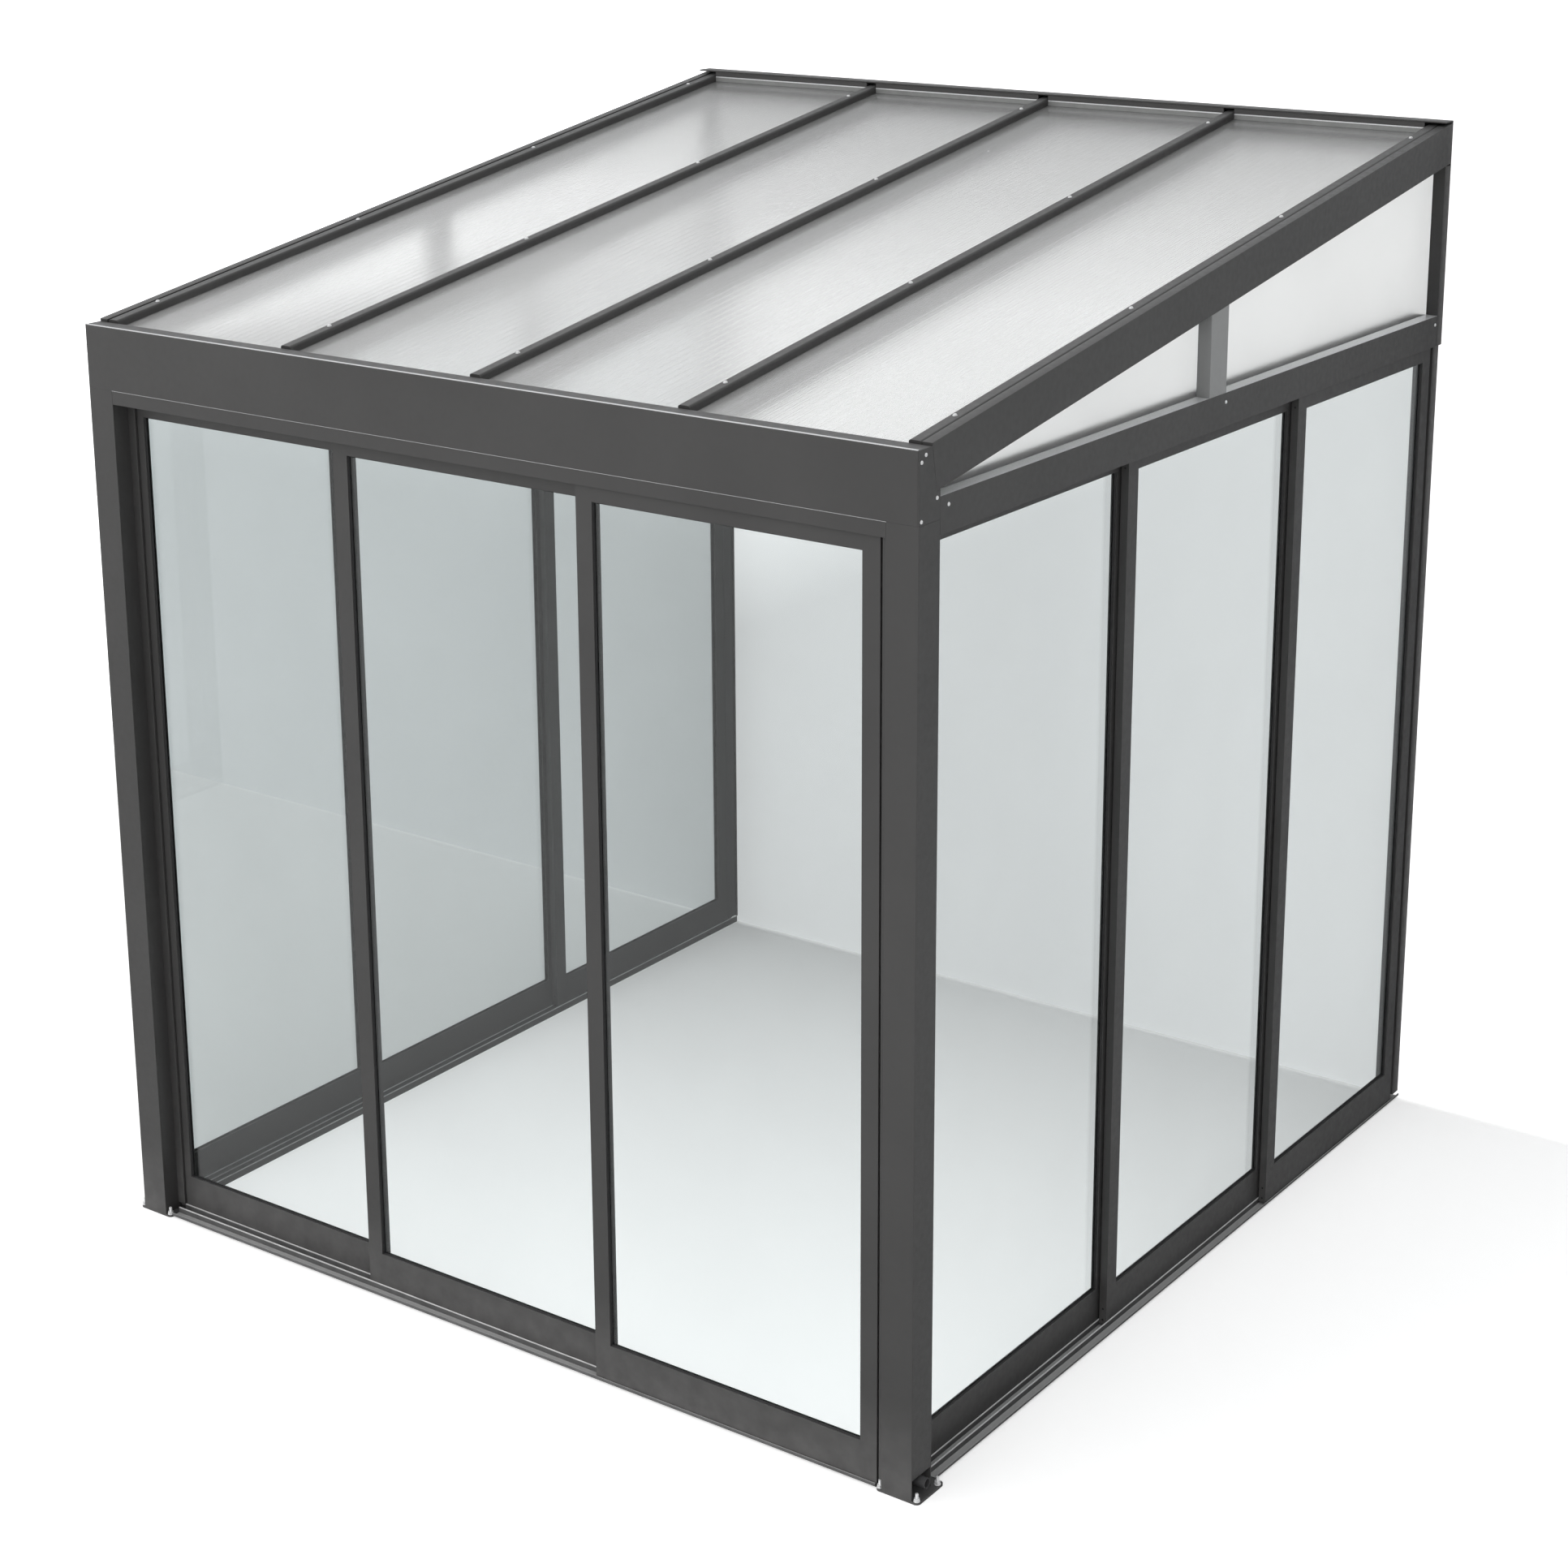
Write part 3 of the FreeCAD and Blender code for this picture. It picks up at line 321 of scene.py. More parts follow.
def track_coat(name, rgb, floor_light, bare):
    """Paint of a sill, with painted light where it looks up, and bare metal with a painted
    highlight on the ribs' tops.
    """
    material = powder_coat(name, rgb, floor_light)
    tree = material.node_tree
    coat = tree.nodes["Principled BSDF"].inputs["Base Color"]
    painted = coat.links[0].from_socket
    height = parts_of(tree, own_place(tree))["Z"]
    # rib tops: bare metal with a painted highlight, in streaks
    top = ramp(tree, height, RIB_TOP - 1.5 * MM, RIB_TOP, 0.0, 1.0)
    streaks = spread(tree, noise(tree, scale=30.0, detail=4.0), 0.65, 1.0)
    worn_and_shining = math_node(tree, "MULTIPLY", top, streaks)
    tree.links.new(blend_colours(tree, worn_and_shining, painted, shade(bare)), coat)
    return material


def clear_glass(name, rgb):
    """Flat glass with the faint waviness of float glass and a film of dirt."""
    material, tree, shader = new_finish(name, {
        "Transmission Weight": 1.0, "Roughness": 0.0, "IOR": 1.45})
    film = spread(tree, noise(tree, scale=2.2, detail=3.0), 0, 1)
    set_inputs(tree, shader, {
        "Base Color": blend_colours(tree, film, shade(rgb, 0.985), shade(rgb, 1.015)),
        "Normal": bump(tree, noise(tree, scale=0.9, detail=0.0), 0.02, 1 * MM)})
    return material


def milky_pane(name, rgb):
    """A translucent pane that blurs what stands behind it."""
    material, tree, shader = new_finish(name, {"Transmission Weight": 0.92, "IOR": 1.18})
    cloud = spread(tree, noise(tree, scale=1.3), 0, 1)
    set_inputs(tree, shader, {
        "Base Color": blend_colours(tree, cloud, shade(rgb, 0.96), shade(rgb, 1.04)),
        "Roughness": spread(tree, noise(tree, scale=9.0), 0.3, 0.36)})
    return material


def twin_wall(name, rgb):
    """Translucent sheet with a faint hatch and a soft blur, with painted shade by the house and
    beside the bars.
    """
    material, tree, shader = new_finish(name, {
        "Transmission Weight": 0.76, "Roughness": 0.18, "IOR": 1.3})
    place = own_place(tree)
    turned = add_node(tree, "ShaderNodeMapping", {
        "Vector": place, "Rotation": (0, 0, math.radians(53))})
    hatch = add_node(tree, "ShaderNodeTexWave", {
        "Vector": turned.outputs["Vector"], "Scale": 26.0, "Distortion": 0.0},
        bands_direction="X").outputs["Fac"]
    soft = spread(tree, noise(tree, scale=1.6), 0, 1)
    tone = blend_colours(tree, soft, shade(rgb, 0.95), shade(rgb, 1.03))
    lined = blend_colours(tree, hatch, tone, shade(rgb, 0.975))
    parts = parts_of(tree, place)
    # painted shade: darker towards the house
    house_shade = ramp(tree, parts["Y"], -0.4, 1.2, 0.0, 0.33)
    first, second = (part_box(node)[0].x for node in ROOF_SHEETS[:2])
    from_first = math_node(tree, "SUBTRACT", parts["X"], first)
    across = math_node(tree, "FRACT", math_node(tree, "DIVIDE", from_first, second - first))
    # painted shade: darker in the left part of each sheet, by the bar or rafter on its left
    bar_shade = ramp(tree, across, 0.2, 0.47, 0.08, 0.0, interpolation_type="SMOOTHSTEP")
    shaded_by_house = blend_colours(tree, house_shade, lined, BLACK)
    set_inputs(tree, shader, {
        "Base Color": blend_colours(tree, bar_shade, shaded_by_house, BLACK),
        "Normal": bump(tree, hatch, 0.002, 0.3 * MM)})
    return material


def plated_zinc(name, rgb):
    """Bright plating with faint streaks."""
    material, tree, shader = new_finish(name, {"Metallic": 0.4})
    streaks = noise(tree, scale=400.0, detail=3.0)
    set_inputs(tree, shader, {
        "Base Color": blend_colours(tree, streaks, shade(rgb, 0.85), shade(rgb, 1.1)),
        "Roughness": spread(tree, noise(tree, scale=900.0), 0.25, 0.45)})
    return material


def moulded(name, rgb):
    """Rubber or moulded plastic with a fine matt grain."""
    material, tree, shader = new_finish(name, {"IOR": 1.5})
    clouds = noise(tree, scale=45.0, detail=3.0)
    set_inputs(tree, shader, {
        "Base Color": blend_colours(tree, clouds, shade(rgb, 0.8), shade(rgb, 1.25)),
        "Roughness": spread(tree, noise(tree, scale=120.0), 0.5, 0.7),
        "Normal": bump(tree, noise(tree, scale=700.0), 0.2, 0.2 * MM)})
    return material


FINISH_MAKERS = {
    "frame_coat": powder_coat,
    "mullion_coat": powder_coat,
    "sliding_glass": clear_glass,
    "fixed_pane": milky_pane,
    "sheet_plastic": twin_wall,
    "zinc_plate": plated_zinc,
    "rubber": moulded,
    "nylon": moulded,
    "pipe_plastic": moulded,
    "sealing_strip": moulded,
    # painted highlights and painted light, in the zinc's shader
    "bright_trim": plated_zinc,
}


def finish(name):
    """The material of that finish, made from the settings when it is first asked for."""
    if name in bpy.data.materials:
        return bpy.data.materials[name]
    colours = bpy.context.scene.conservatory_finishes
    if name == "sill_coat":
        return track_coat(name, colours.sill_coat, colours.sill_floor_light, colours.rib_metal_and_shine)
    return FINISH_MAKERS[name](name, getattr(colours, name))


# Pieces

def new_object(name, data):
    made = bpy.data.objects.new(name, data)
    bpy.context.scene.collection.objects.link(made)
    return made


def set_finish(mesh, finish_name):
    mesh.materials.clear()
    mesh.materials.append(finish(finish_name))


def add_piece(name, mesh, body, finish_name, replaced=()):
    """Links a mesh in its finish as a piece that rides on a body."""
    set_finish(mesh, finish_name)
    piece = new_object(name, mesh)
    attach(piece, body)
    if replaced:
        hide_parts(*replaced)


def stand_in(node, name, mesh, finish_name):
    """Adds a piece in place of a solid, on the solid's body."""
    add_piece(name, mesh, body_of[node], finish_name, (node,))


# Mesh helpers

def soften(bm, radius):
    """Rounds the sharp long edges."""
    edges = [edge for edge in bm.edges if edge.is_manifold
             and edge.calc_face_angle() > math.radians(30) and edge.calc_length() > SHORTEST_ARRIS]
    bmesh.ops.bevel(bm, geom=edges, offset=radius, segments=2, profile=0.5, affect="EDGES",
                    clamp_overlap=False)


def to_mesh(bm, name):
    mesh = bpy.data.meshes.new(name)
    bm.to_mesh(mesh)
    bm.free()
    return mesh


def closed_mesh(bm, name):
    """A mesh of closed shapes, whose faces look outwards."""
    bmesh.ops.recalc_face_normals(bm, faces=bm.faces)
    return to_mesh(bm, name)


def welded(node):
    """A solid's triangles, joined at their corners."""
    bm = bmesh.new()
    bm.from_mesh(nodes[node].data)
    bmesh.ops.remove_doubles(bm, verts=bm.verts, dist=WELD)
    return bm


def softened_copy(node, radius, name):
    """A copy of a solid with its triangles joined into faces and its arrises rounded."""
    bm = welded(node)
    bmesh.ops.dissolve_limit(bm, angle_limit=math.radians(1), verts=bm.verts, edges=bm.edges)
    soften(bm, radius)
    return to_mesh(bm, name)


def solid_boxes(node):
    """Boxes of a node's separate solids."""
    bm = welded(node)
    waiting = set(bm.verts)
    boxes = []
    while waiting:
        island = [waiting.pop()]
        for vert in island:
            for edge in vert.link_edges:
                other = edge.other_vert(vert)
                if other in waiting:
                    waiting.remove(other)
                    island.append(other)
        points = [vert.co for vert in island]
        boxes.append((Vector(map(min, zip(*points))), Vector(map(max, zip(*points)))))
    bm.free()
    return boxes


def add_prism(bm, profile, near, far):
    """A closed bar: its profile's points are put at each end by a function."""
    rings = [[bm.verts.new(put(*point)) for point in profile] for put in (near, far)]
    count = len(profile)
    bm.faces.new(rings[0])
    bm.faces.new(reversed(rings[1]))
    for index in range(count):
        after = (index + 1) % count
        bm.faces.new((rings[0][after], rings[0][index], rings[1][index], rings[1][after]))


def add_block(bm, low, high):
    """A plain bar between two corners."""
    square = [(low[0], low[1]), (high[0], low[1]), (high[0], high[1]), (low[0], high[1])]
    add_prism(bm, square, lambda x, y: Vector((x, y, low[2])), lambda x, y: Vector((x, y, high[2])))


def add_bead(bm, profile, corners, put):
    """A mitred loop inside a rectangle. A profile point is (reach inwards, depth)."""
    left, low, right, high = corners
    loops = []
    for reach, deep in profile:
        square = ((left + reach, low + reach), (right - reach, low + reach),
                  (right - reach, high - reach), (left + reach, high - reach))
        loops.append([bm.verts.new(put(along, deep, up)) for along, up in square])
    count = len(profile)
    for index in range(count):
        here, there = loops[index], loops[(index + 1) % count]
        for corner in range(4):
            after = (corner + 1) % 4
            bm.faces.new((here[corner], here[after], there[after], there[corner]))


def lathe(bm, rings, steps=32, closed=False):
    """A turned shape: each ring is a height and a radius, or a function of the angle."""
    loops = []
    for height, radius in rings:
        loop = []
        for step in range(steps):
            angle = 2 * math.pi * step / steps
            reach = radius(angle) if callable(radius) else radius
            loop.append(bm.verts.new((reach * math.cos(angle), reach * math.sin(angle), height)))
        loops.append(loop)
    pairs = list(zip(loops, loops[1:]))
    if closed:
        pairs.append((loops[-1], loops[0]))
    else:
        bm.faces.new(list(reversed(loops[0])))
        bm.faces.new(loops[-1])
    for lower, upper in pairs:
        for step in range(steps):
            after = (step + 1) % steps
            bm.faces.new((lower[step], lower[after], upper[after], upper[step]))
    return [vert for loop in loops for vert in loop]


def millimetres(*rings):
    """Rings of a turned shape, given in millimetres."""
    return [(height * MM, radius if callable(radius) else radius * MM) for height, radius in rings]


def hexagon(across_flats):
    """Radius of a hexagon at an angle."""
    def reach(angle):
        return across_flats / 2 / math.cos(angle % (math.pi / 3) - math.pi / 6)
    return reach


# Geometry node trees

def new_tree(name, sockets):
    """An empty tree with a geometry output and the named inputs."""
    tree = bpy.data.node_groups.new(name, "GeometryNodeTree")
    tree.interface.new_socket("Geometry", in_out="OUTPUT", socket_type="NodeSocketGeometry")
    for title, kind in sockets:
        tree.interface.new_socket(title, in_out="INPUT", socket_type="NodeSocket" + kind)
    return tree, tree.nodes.new("NodeGroupInput").outputs


def close_tree(tree, geometry, material):
    """Ends a tree with plain geometry in its finish."""
    solid = add_node(tree, "GeometryNodeRealizeInstances", {"Geometry": geometry})
    done = add_node(tree, "GeometryNodeSetMaterial", {
        "Geometry": solid.outputs["Geometry"], "Material": material})
    add_node(tree, "NodeGroupOutput", {"Geometry": done.outputs["Geometry"]})
    return tree


def fastener_tree():
    """Sets a fastener on each point, turned to the point's aim."""
    tree, given = new_tree("Fasteners", (
        ("Geometry", "Geometry"), ("Fastener", "Object"), ("Finish", "Material")))
    aim = add_node(tree, "GeometryNodeInputNamedAttribute", {"Name": "aim"},
                   data_type="FLOAT_VECTOR")
    turn = add_node(tree, "FunctionNodeAlignRotationToVector", {
        "Vector": aim.outputs["Attribute"]}, axis="Z")
    shape = add_node(tree, "GeometryNodeObjectInfo", {"Object": given["Fastener"]})
    copies = add_node(tree, "GeometryNodeInstanceOnPoints", {
        "Points": given["Geometry"], "Instance": shape.outputs["Geometry"],
        "Rotation": turn.outputs["Rotation"]})
    return close_tree(tree, copies.outputs["Instances"], given["Finish"])


def sheet_tree():
    """A sheet with a fine groove between its channels, on both faces."""
    tree, given = new_tree("Twin-wall sheet", (
        ("Width", "Float"), ("Length", "Float"), ("Thickness", "Float"), ("Cells", "Int"),
        ("Groove", "Float"), ("Finish", "Material")))

    def along_z(value):
        lowered = math_node(tree, "MULTIPLY", value, -1.0)
        return add_node(tree, "ShaderNodeCombineXYZ", {"Z": lowered}).outputs["Vector"]

    steps = math_node(tree, "MULTIPLY_ADD", given["Cells"], 16.0, 1.0)
    grid = add_node(tree, "GeometryNodeMeshGrid", {
        "Size X": given["Width"], "Size Y": given["Length"], "Vertices X": steps, "Vertices Y": 2})
    cell = math_node(tree, "DIVIDE", given["Width"], given["Cells"])
    across = parts_of(tree, add_node(tree, "GeometryNodeInputPosition").outputs["Position"])["X"]
    from_edge = math_node(tree, "ADD", across, math_node(tree, "MULTIPLY", given["Width"], 0.5))
    to_line = math_node(tree, "PINGPONG", from_edge, math_node(tree, "MULTIPLY", cell, 0.5))
    in_groove = math_node(tree, "LESS_THAN", to_line, math_node(tree, "MULTIPLY", cell, 0.03))
    sink = math_node(tree, "MULTIPLY", in_groove, given["Groove"])
    top = add_node(tree, "GeometryNodeSetPosition", {
        "Geometry": grid.outputs["Mesh"], "Offset": along_z(sink)})
    both_sinks = math_node(tree, "MULTIPLY", sink, 2.0)
    depth = math_node(tree, "SUBTRACT", given["Thickness"], both_sinks)
    lower = add_node(tree, "GeometryNodeExtrudeMesh", {
        "Mesh": top.outputs["Geometry"], "Offset": along_z(depth), "Offset Scale": 1.0,
        "Individual": False}, mode="FACES")
    outwards = add_node(tree, "GeometryNodeFlipFaces", {"Mesh": lower.outputs["Mesh"]})
    both = add_node(tree, "GeometryNodeJoinGeometry", {"Geometry": outwards.outputs["Mesh"]})
    set_inputs(tree, both, {"Geometry": top.outputs["Geometry"]})
    joined = add_node(tree, "GeometryNodeMergeByDistance", {
        "Geometry": both.outputs["Geometry"], "Distance": 5 * WELD})
    return close_tree(tree, joined.outputs["Geometry"], given["Finish"])


def tree_mesh(tree, base, values, name):
    """Runs a tree on a mesh with its inputs set, and returns the plain mesh it makes."""
    carrier = new_object(name + "_carrier", base)
    modifier = carrier.modifiers.new(tree.name, "NODES")
    modifier.node_group = tree
    for item in tree.interface.items_tree:
        if item.in_out == "INPUT" and item.name in values:
            modifier[item.identifier] = values[item.name]
    graph = bpy.context.evaluated_depsgraph_get()
    mesh = bpy.data.meshes.new_from_object(carrier.evaluated_get(graph), depsgraph=graph)
    mesh.name = name
    bpy.data.objects.remove(carrier)
    return mesh


def fasteners(name, template, places, finish_name):
    """One mesh with the template fastener at each place, which is a point and an aim."""
    base = bpy.data.meshes.new(name + "_places")
    base.from_pydata([point for point, aim in places], [], [])
    aims = base.attributes.new("aim", "FLOAT_VECTOR", "POINT")
    for item, (point, aim) in zip(aims.data, places):
        item.vector = aim
    shape = new_object(name + "_shape", template)
    tree = bpy.data.node_groups.get("Fasteners") or fastener_tree()
    mesh = tree_mesh(tree, base, {"Fastener": shape, "Finish": finish(finish_name)}, name)
    bpy.data.objects.remove(shape)
    return mesh


# Operators

class CONSERVATORY_OT_frame_profiles(bpy.types.Operator):
    """Rounds the arrises of the posts, headers, gutter and roof bars, and paints them"""

    bl_idname = "conservatory.frame_profiles"
    bl_label = "Frame profiles"

    def execute(self, context):
        arris = context.scene.conservatory_details.arris
        for node in FRAME_PROFILES:
            name = node + "_profile"
            stand_in(node, name, softened_copy(node, arris, name), "frame_coat")
        return {"FINISHED"}


class CONSERVATORY_OT_sills(bpy.types.Operator):
    """Rounds the ribs of the sills, paints bare metal with a painted highlight on the ribs' tops,
    and painted light where the sills look up
    """

    bl_idname = "conservatory.sills"
    bl_label = "Sills"

    def execute(self, context):
        arris = context.scene.conservatory_details.arris * 0.6
        for node in SILLS:
            name = node + "_track"
            stand_in(node, name, softened_copy(node, arris, name), "sill_coat")
        return {"FINISHED"}


class CONSERVATORY_OT_roof_sheets(bpy.types.Operator):
    """Makes the translucent sheets with lines between their channels"""

    bl_idname = "conservatory.roof_sheets"
    bl_label = "Roof sheets"

    def execute(self, context):
        details = context.scene.conservatory_details
        tree = sheet_tree()
        pitch = roof_pitch()
        slope = Matrix.Rotation(pitch, 4, "X")
        for node in ROOF_SHEETS:
            low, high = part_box(node)
            thickness = sheet_thickness(low, high, pitch)
            run = (high.y - low.y - thickness * math.sin(pitch)) / math.cos(pitch)
            name = node + "_panel"
            mesh = tree_mesh(tree, bpy.data.meshes.new(name + "_base"), {
                "Width": high.x - low.x, "Length": run, "Thickness": thickness,
                "Cells": details.sheet_cells, "Groove": details.sheet_groove,
                "Finish": finish("sheet_plastic")}, name)
            front_top = Vector(((low.x + high.x) / 2, low.y, low.z + thickness * math.cos(pitch)))
            to_middle = Matrix.Translation((0, run / 2, 0))
            mesh.transform(Matrix.Translation(front_top) @ slope @ to_middle)
            stand_in(node, name, mesh, "sheet_plastic")
        return {"FINISHED"}


def roof_pitch():
    """Slope of the roof, from the screws at the ends of the bars."""
    boxes = sorted(solid_boxes("roof_screws"), key=lambda box: box[0].y)
    first, last = boxes[0], boxes[-1]
    return math.atan2(last[1].z - first[1].z, last[1].y - first[1].y)


def sheet_thickness(low, high, pitch):
    """Thickness of a sheet or cap whose box is given: what its height has above its rise."""
    depth, rise = high.y - low.y, high.z - low.z
    return rise * math.cos(pitch) - depth * math.sin(pitch)


class CONSERVATORY_OT_bar_caps(bpy.types.Operator):
    """Makes the rounded caps over the roof bars"""

    bl_idname = "conservatory.bar_caps"
    bl_label = "Bar caps"

    def execute(self, context):
        details = context.scene.conservatory_details
        pitch = roof_pitch()
        bm = bmesh.new()
        for low, high in solid_boxes("bar_caps"):
            add_bar_cap(bm, low, high, pitch, details)
        mesh = closed_mesh(bm, "bar_caps_rounded")
        stand_in("bar_caps", "bar_caps_rounded", mesh, "frame_coat")
        return {"FINISHED"}


def add_bar_cap(bm, low, high, pitch, details):
    """One cap: a channel with rounded shoulders, cut upright at the house wall."""
    corner, wall = details.cap_corner, details.cap_wall
    half = (high.x - low.x) / 2
    deep = sheet_thickness(low, high, pitch)
    sine, cosine = math.sin(pitch), math.cos(pitch)
    front_top = Vector(((low.x + high.x) / 2, low.y, low.z + deep * cosine))
    arc = [math.radians(15 * step) for step in range(7)]
    right = [(half - corner + corner * math.sin(turn), corner * math.cos(turn) - corner)
             for turn in arc]
    outer = [(-x, n) for x, n in reversed(right)] + right
    inner = [(half - wall, -deep), (half - wall, -corner), (half - corner, -wall),
             (corner - half, -wall), (wall - half, -corner), (wall - half, -deep)]
    profile = [(-half, -deep)] + outer + [(half, -deep)] + inner

    def near(x, n):
        return front_top + Vector((x, -n * sine, n * cosine))

    def far(x, n):
        start = near(x, n)
        run = high.y - start.y
        return start + Vector((0, run, run * math.tan(pitch)))

    def behind_near(x, n):
        return near(x, n) + Vector((0, wall * cosine, wall * sine))

    add_prism(bm, profile, near, far)
    add_prism(bm, inner, near, behind_near)


class CONSERVATORY_OT_sliding_panels(bpy.types.Operator):
    """Makes the bars, beads and plugs of the sliding panels, and dresses glass and glides"""

    bl_idname = "conservatory.sliding_panels"
    bl_label = "Sliding panels"

    def execute(self, context):
        details = context.scene.conservatory_details
        for wall, names in PANELS.items():
            for name in names:
                make_panel(wall, f"{wall}_{name}", details)
        return {"FINISHED"}


def make_panel(wall, name, details):
    """One panel: two stiles and two rails, the beads round its glass, and the plugs in its ends."""
    low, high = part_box(name + "_frame")
    body = body_of[name + "_frame"]
    put = panel_places(wall, low)
    run = high.x - low.x if wall == "front" else high.y - low.y
    depth = high.y - low.y if wall == "front" else high.x - low.x
    tall = high.z - low.z
    bars = bmesh.new()
    add_panel_bars(bars, put, (run, depth, tall), details)
    soften(bars, details.arris)
    stand_in(name + "_frame", name + "_bars", closed_mesh(bars, name + "_bars"), "frame_coat")
    beads = bmesh.new()
    add_panel_beads(beads, put, (run, depth, tall), details)
    mesh = closed_mesh(beads, name + "_beads")
    add_piece(name + "_beads", mesh, body, "rubber")
    along = put(1, 0, 0) - put(0, 0, 0)
    heights = (*PLUG_HEIGHTS, *(tall - up for up in reversed(PLUG_HEIGHTS)))
    places = [(put(end, depth / 2, up), way)
              for end, way in ((0, -along), (run, along)) for up in heights]
    mesh = fasteners(name + "_plugs", plug_shape(), places, "rubber")
    add_piece(name + "_plugs", mesh, body, "rubber")
    set_finish(nodes[name + "_pane"].data, "sliding_glass")
    set_finish(nodes[name + "_glides"].data, "nylon")


def plug_shape():
    """A flat plug that closes a screw hole."""
    bm = bmesh.new()
    lathe(bm, millimetres((-2, 2.5), (0, 2.8), (0.3, 2.4)), steps=16)
    return closed_mesh(bm, "plug_shape")


def panel_places(wall, low):
    """Turns a panel's own run, depth and height into a point."""
    def put(along, deep, up):
        if wall == "front":
            return low + Vector((along, deep, up))
        return low + Vector((deep, along, up))
    return put


def add_panel_bars(bm, put, sizes, details):
    """Two stiles of full height and two rails between them, grooved for the glass."""
    run, depth, tall = sizes
    stile = details.stile_width

    def section(width):
        groove = (depth - details.groove_width) / 2
        bite = details.glass_bite
        return [(0, 0), (width, 0), (width, groove), (width - bite, groove),
                (width - bite, depth - groove), (width, depth - groove), (width, depth), (0, depth)]

    upright = section(stile)
    add_prism(bm, upright, lambda a, d: put(a, d, 0), lambda a, d: put(a, d, tall))
    add_prism(bm, upright, lambda a, d: put(run - a, d, 0), lambda a, d: put(run - a, d, tall))
    start, end = stile, run - stile
    add_prism(bm, section(details.bottom_rail),
              lambda u, d: put(start, d, u), lambda u, d: put(end, d, u))
    add_prism(bm, section(details.top_rail),
              lambda u, d: put(start, d, tall - u), lambda u, d: put(end, d, tall - u))


def add_panel_beads(bm, put, sizes, details):
    """A rubber bead round the glass on each face."""
    run, depth, tall = sizes
    stile = details.stile_width
    corners = (stile, details.bottom_rail, run - stile, tall - details.top_rail)
    glass = depth / 2 - 3 * MM
    face = (depth - details.groove_width) / 2 - 2.5 * MM
    reach = details.bead_reach
    outside = [(0, glass), (reach, glass), (reach * 0.8, (glass + face) / 2), (reach * 0.3, face),
               (0, face)]
    add_bead(bm, outside, corners, put)
    add_bead(bm, [(inwards, depth - deep) for inwards, deep in outside], corners, put)


class CONSERVATORY_OT_gables(bpy.types.Operator):
    """Rounds and paints the gable mullions and dresses the fixed panes"""

    bl_idname = "conservatory.gables"
    bl_label = "Gables"

    def execute(self, context):
        name = "gable_mullions_profile"
        mesh = softened_copy("gable_mullions", context.scene.conservatory_details.arris, name)
        stand_in("gable_mullions", name, mesh, "mullion_coat")
        for node in GABLE_PANES:
            set_finish(nodes[node].data, "fixed_pane")
        return {"FINISHED"}


class CONSERVATORY_OT_trims(bpy.types.Operator):
    """Makes the painted highlights on the gutter and the headers, the painted light on the headers
    before the gable panes, and the strips under the wall plate
    """

    bl_idname = "conservatory.trims"
    bl_label = "Trims"

    def execute(self, context):
        edges, strips, bands = bmesh.new(), bmesh.new(), bmesh.new()
        add_gutter_edges(edges)
        for side in ("left", "right"):
            add_gable_ledges(edges, side)
        add_closing_strips(strips, edges, bands)
        for name, bm, neighbour, finish_name, alike in (
                ("bare_edge_trims", edges, "gutter", "bright_trim", "frame_screws"),
                ("closing_strips", strips, "wall_plate", "sealing_strip", "gable_mullions"),
                ("closing_bands", bands, "wall_plate", "frame_coat", "wall_plate")):
            mesh = closed_mesh(bm, name)
            add_piece(name, mesh, body_of[neighbour], finish_name)
        return {"FINISHED"}


def add_gutter_edges(bm):
    """A painted highlight along the gutter's top front edge, and in the joint of gutter and header.
    """
    low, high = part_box("gutter")
    add_block(bm, (low.x + MM, low.y + 0.8 * MM, high.z - MM),
              (high.x - MM, low.y + 6 * MM, high.z + 0.5 * MM))
    low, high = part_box("front_header")
    add_block(bm, (low.x, low.y + 0.2 * MM, high.z - 1.2 * MM),
              (high.x, low.y + 2 * MM, high.z + 1.2 * MM))


def add_gable_ledges(bm, side):
    """A strip of painted light on the header's top before each gable pane."""
    low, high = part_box(side + "_gable_panes")
    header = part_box(side + "_header")
    outer, inner = (header[0].x + MM, low.x) if side == "left" else (high.x, header[1].x - MM)
    mullion = next(box for box in solid_boxes("gable_mullions")
                   if (box[0].x < 0) == (side == "left"))
    for start, end in ((low.y, mullion[0].y), (mullion[1].y, header[1].y)):
        add_block(bm, (outer, start, low.z - 0.2 * MM), (inner, end, low.z + 0.5 * MM))


def add_closing_strips(strips, edges, bands):
    """Between neighbouring caps, from each sheet up: a strip, a painted highlight and a band."""
    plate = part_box("wall_plate")
    pitch = roof_pitch()
    face = plate[0].y + 1.5 * MM
    caps = sorted(solid_boxes("bar_caps"), key=lambda box: box[0].x)
    for node, before, after in zip(ROOF_SHEETS, caps, caps[1:]):
        low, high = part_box(node)
        thickness = sheet_thickness(low, high, pitch)
        foot = high.z - (high.y - thickness * math.sin(pitch) - face) * math.tan(pitch)
        start, end = before[1].x + 0.5 * MM, after[0].x - 0.5 * MM
        levels = (foot, *(plate[1].z - level for level in STRIP_LEVELS))
        for bm, lower, upper in zip((strips, edges, bands), levels, levels[1:]):
            add_block(bm, (start, face, lower), (end, face + 2 * MM, upper))


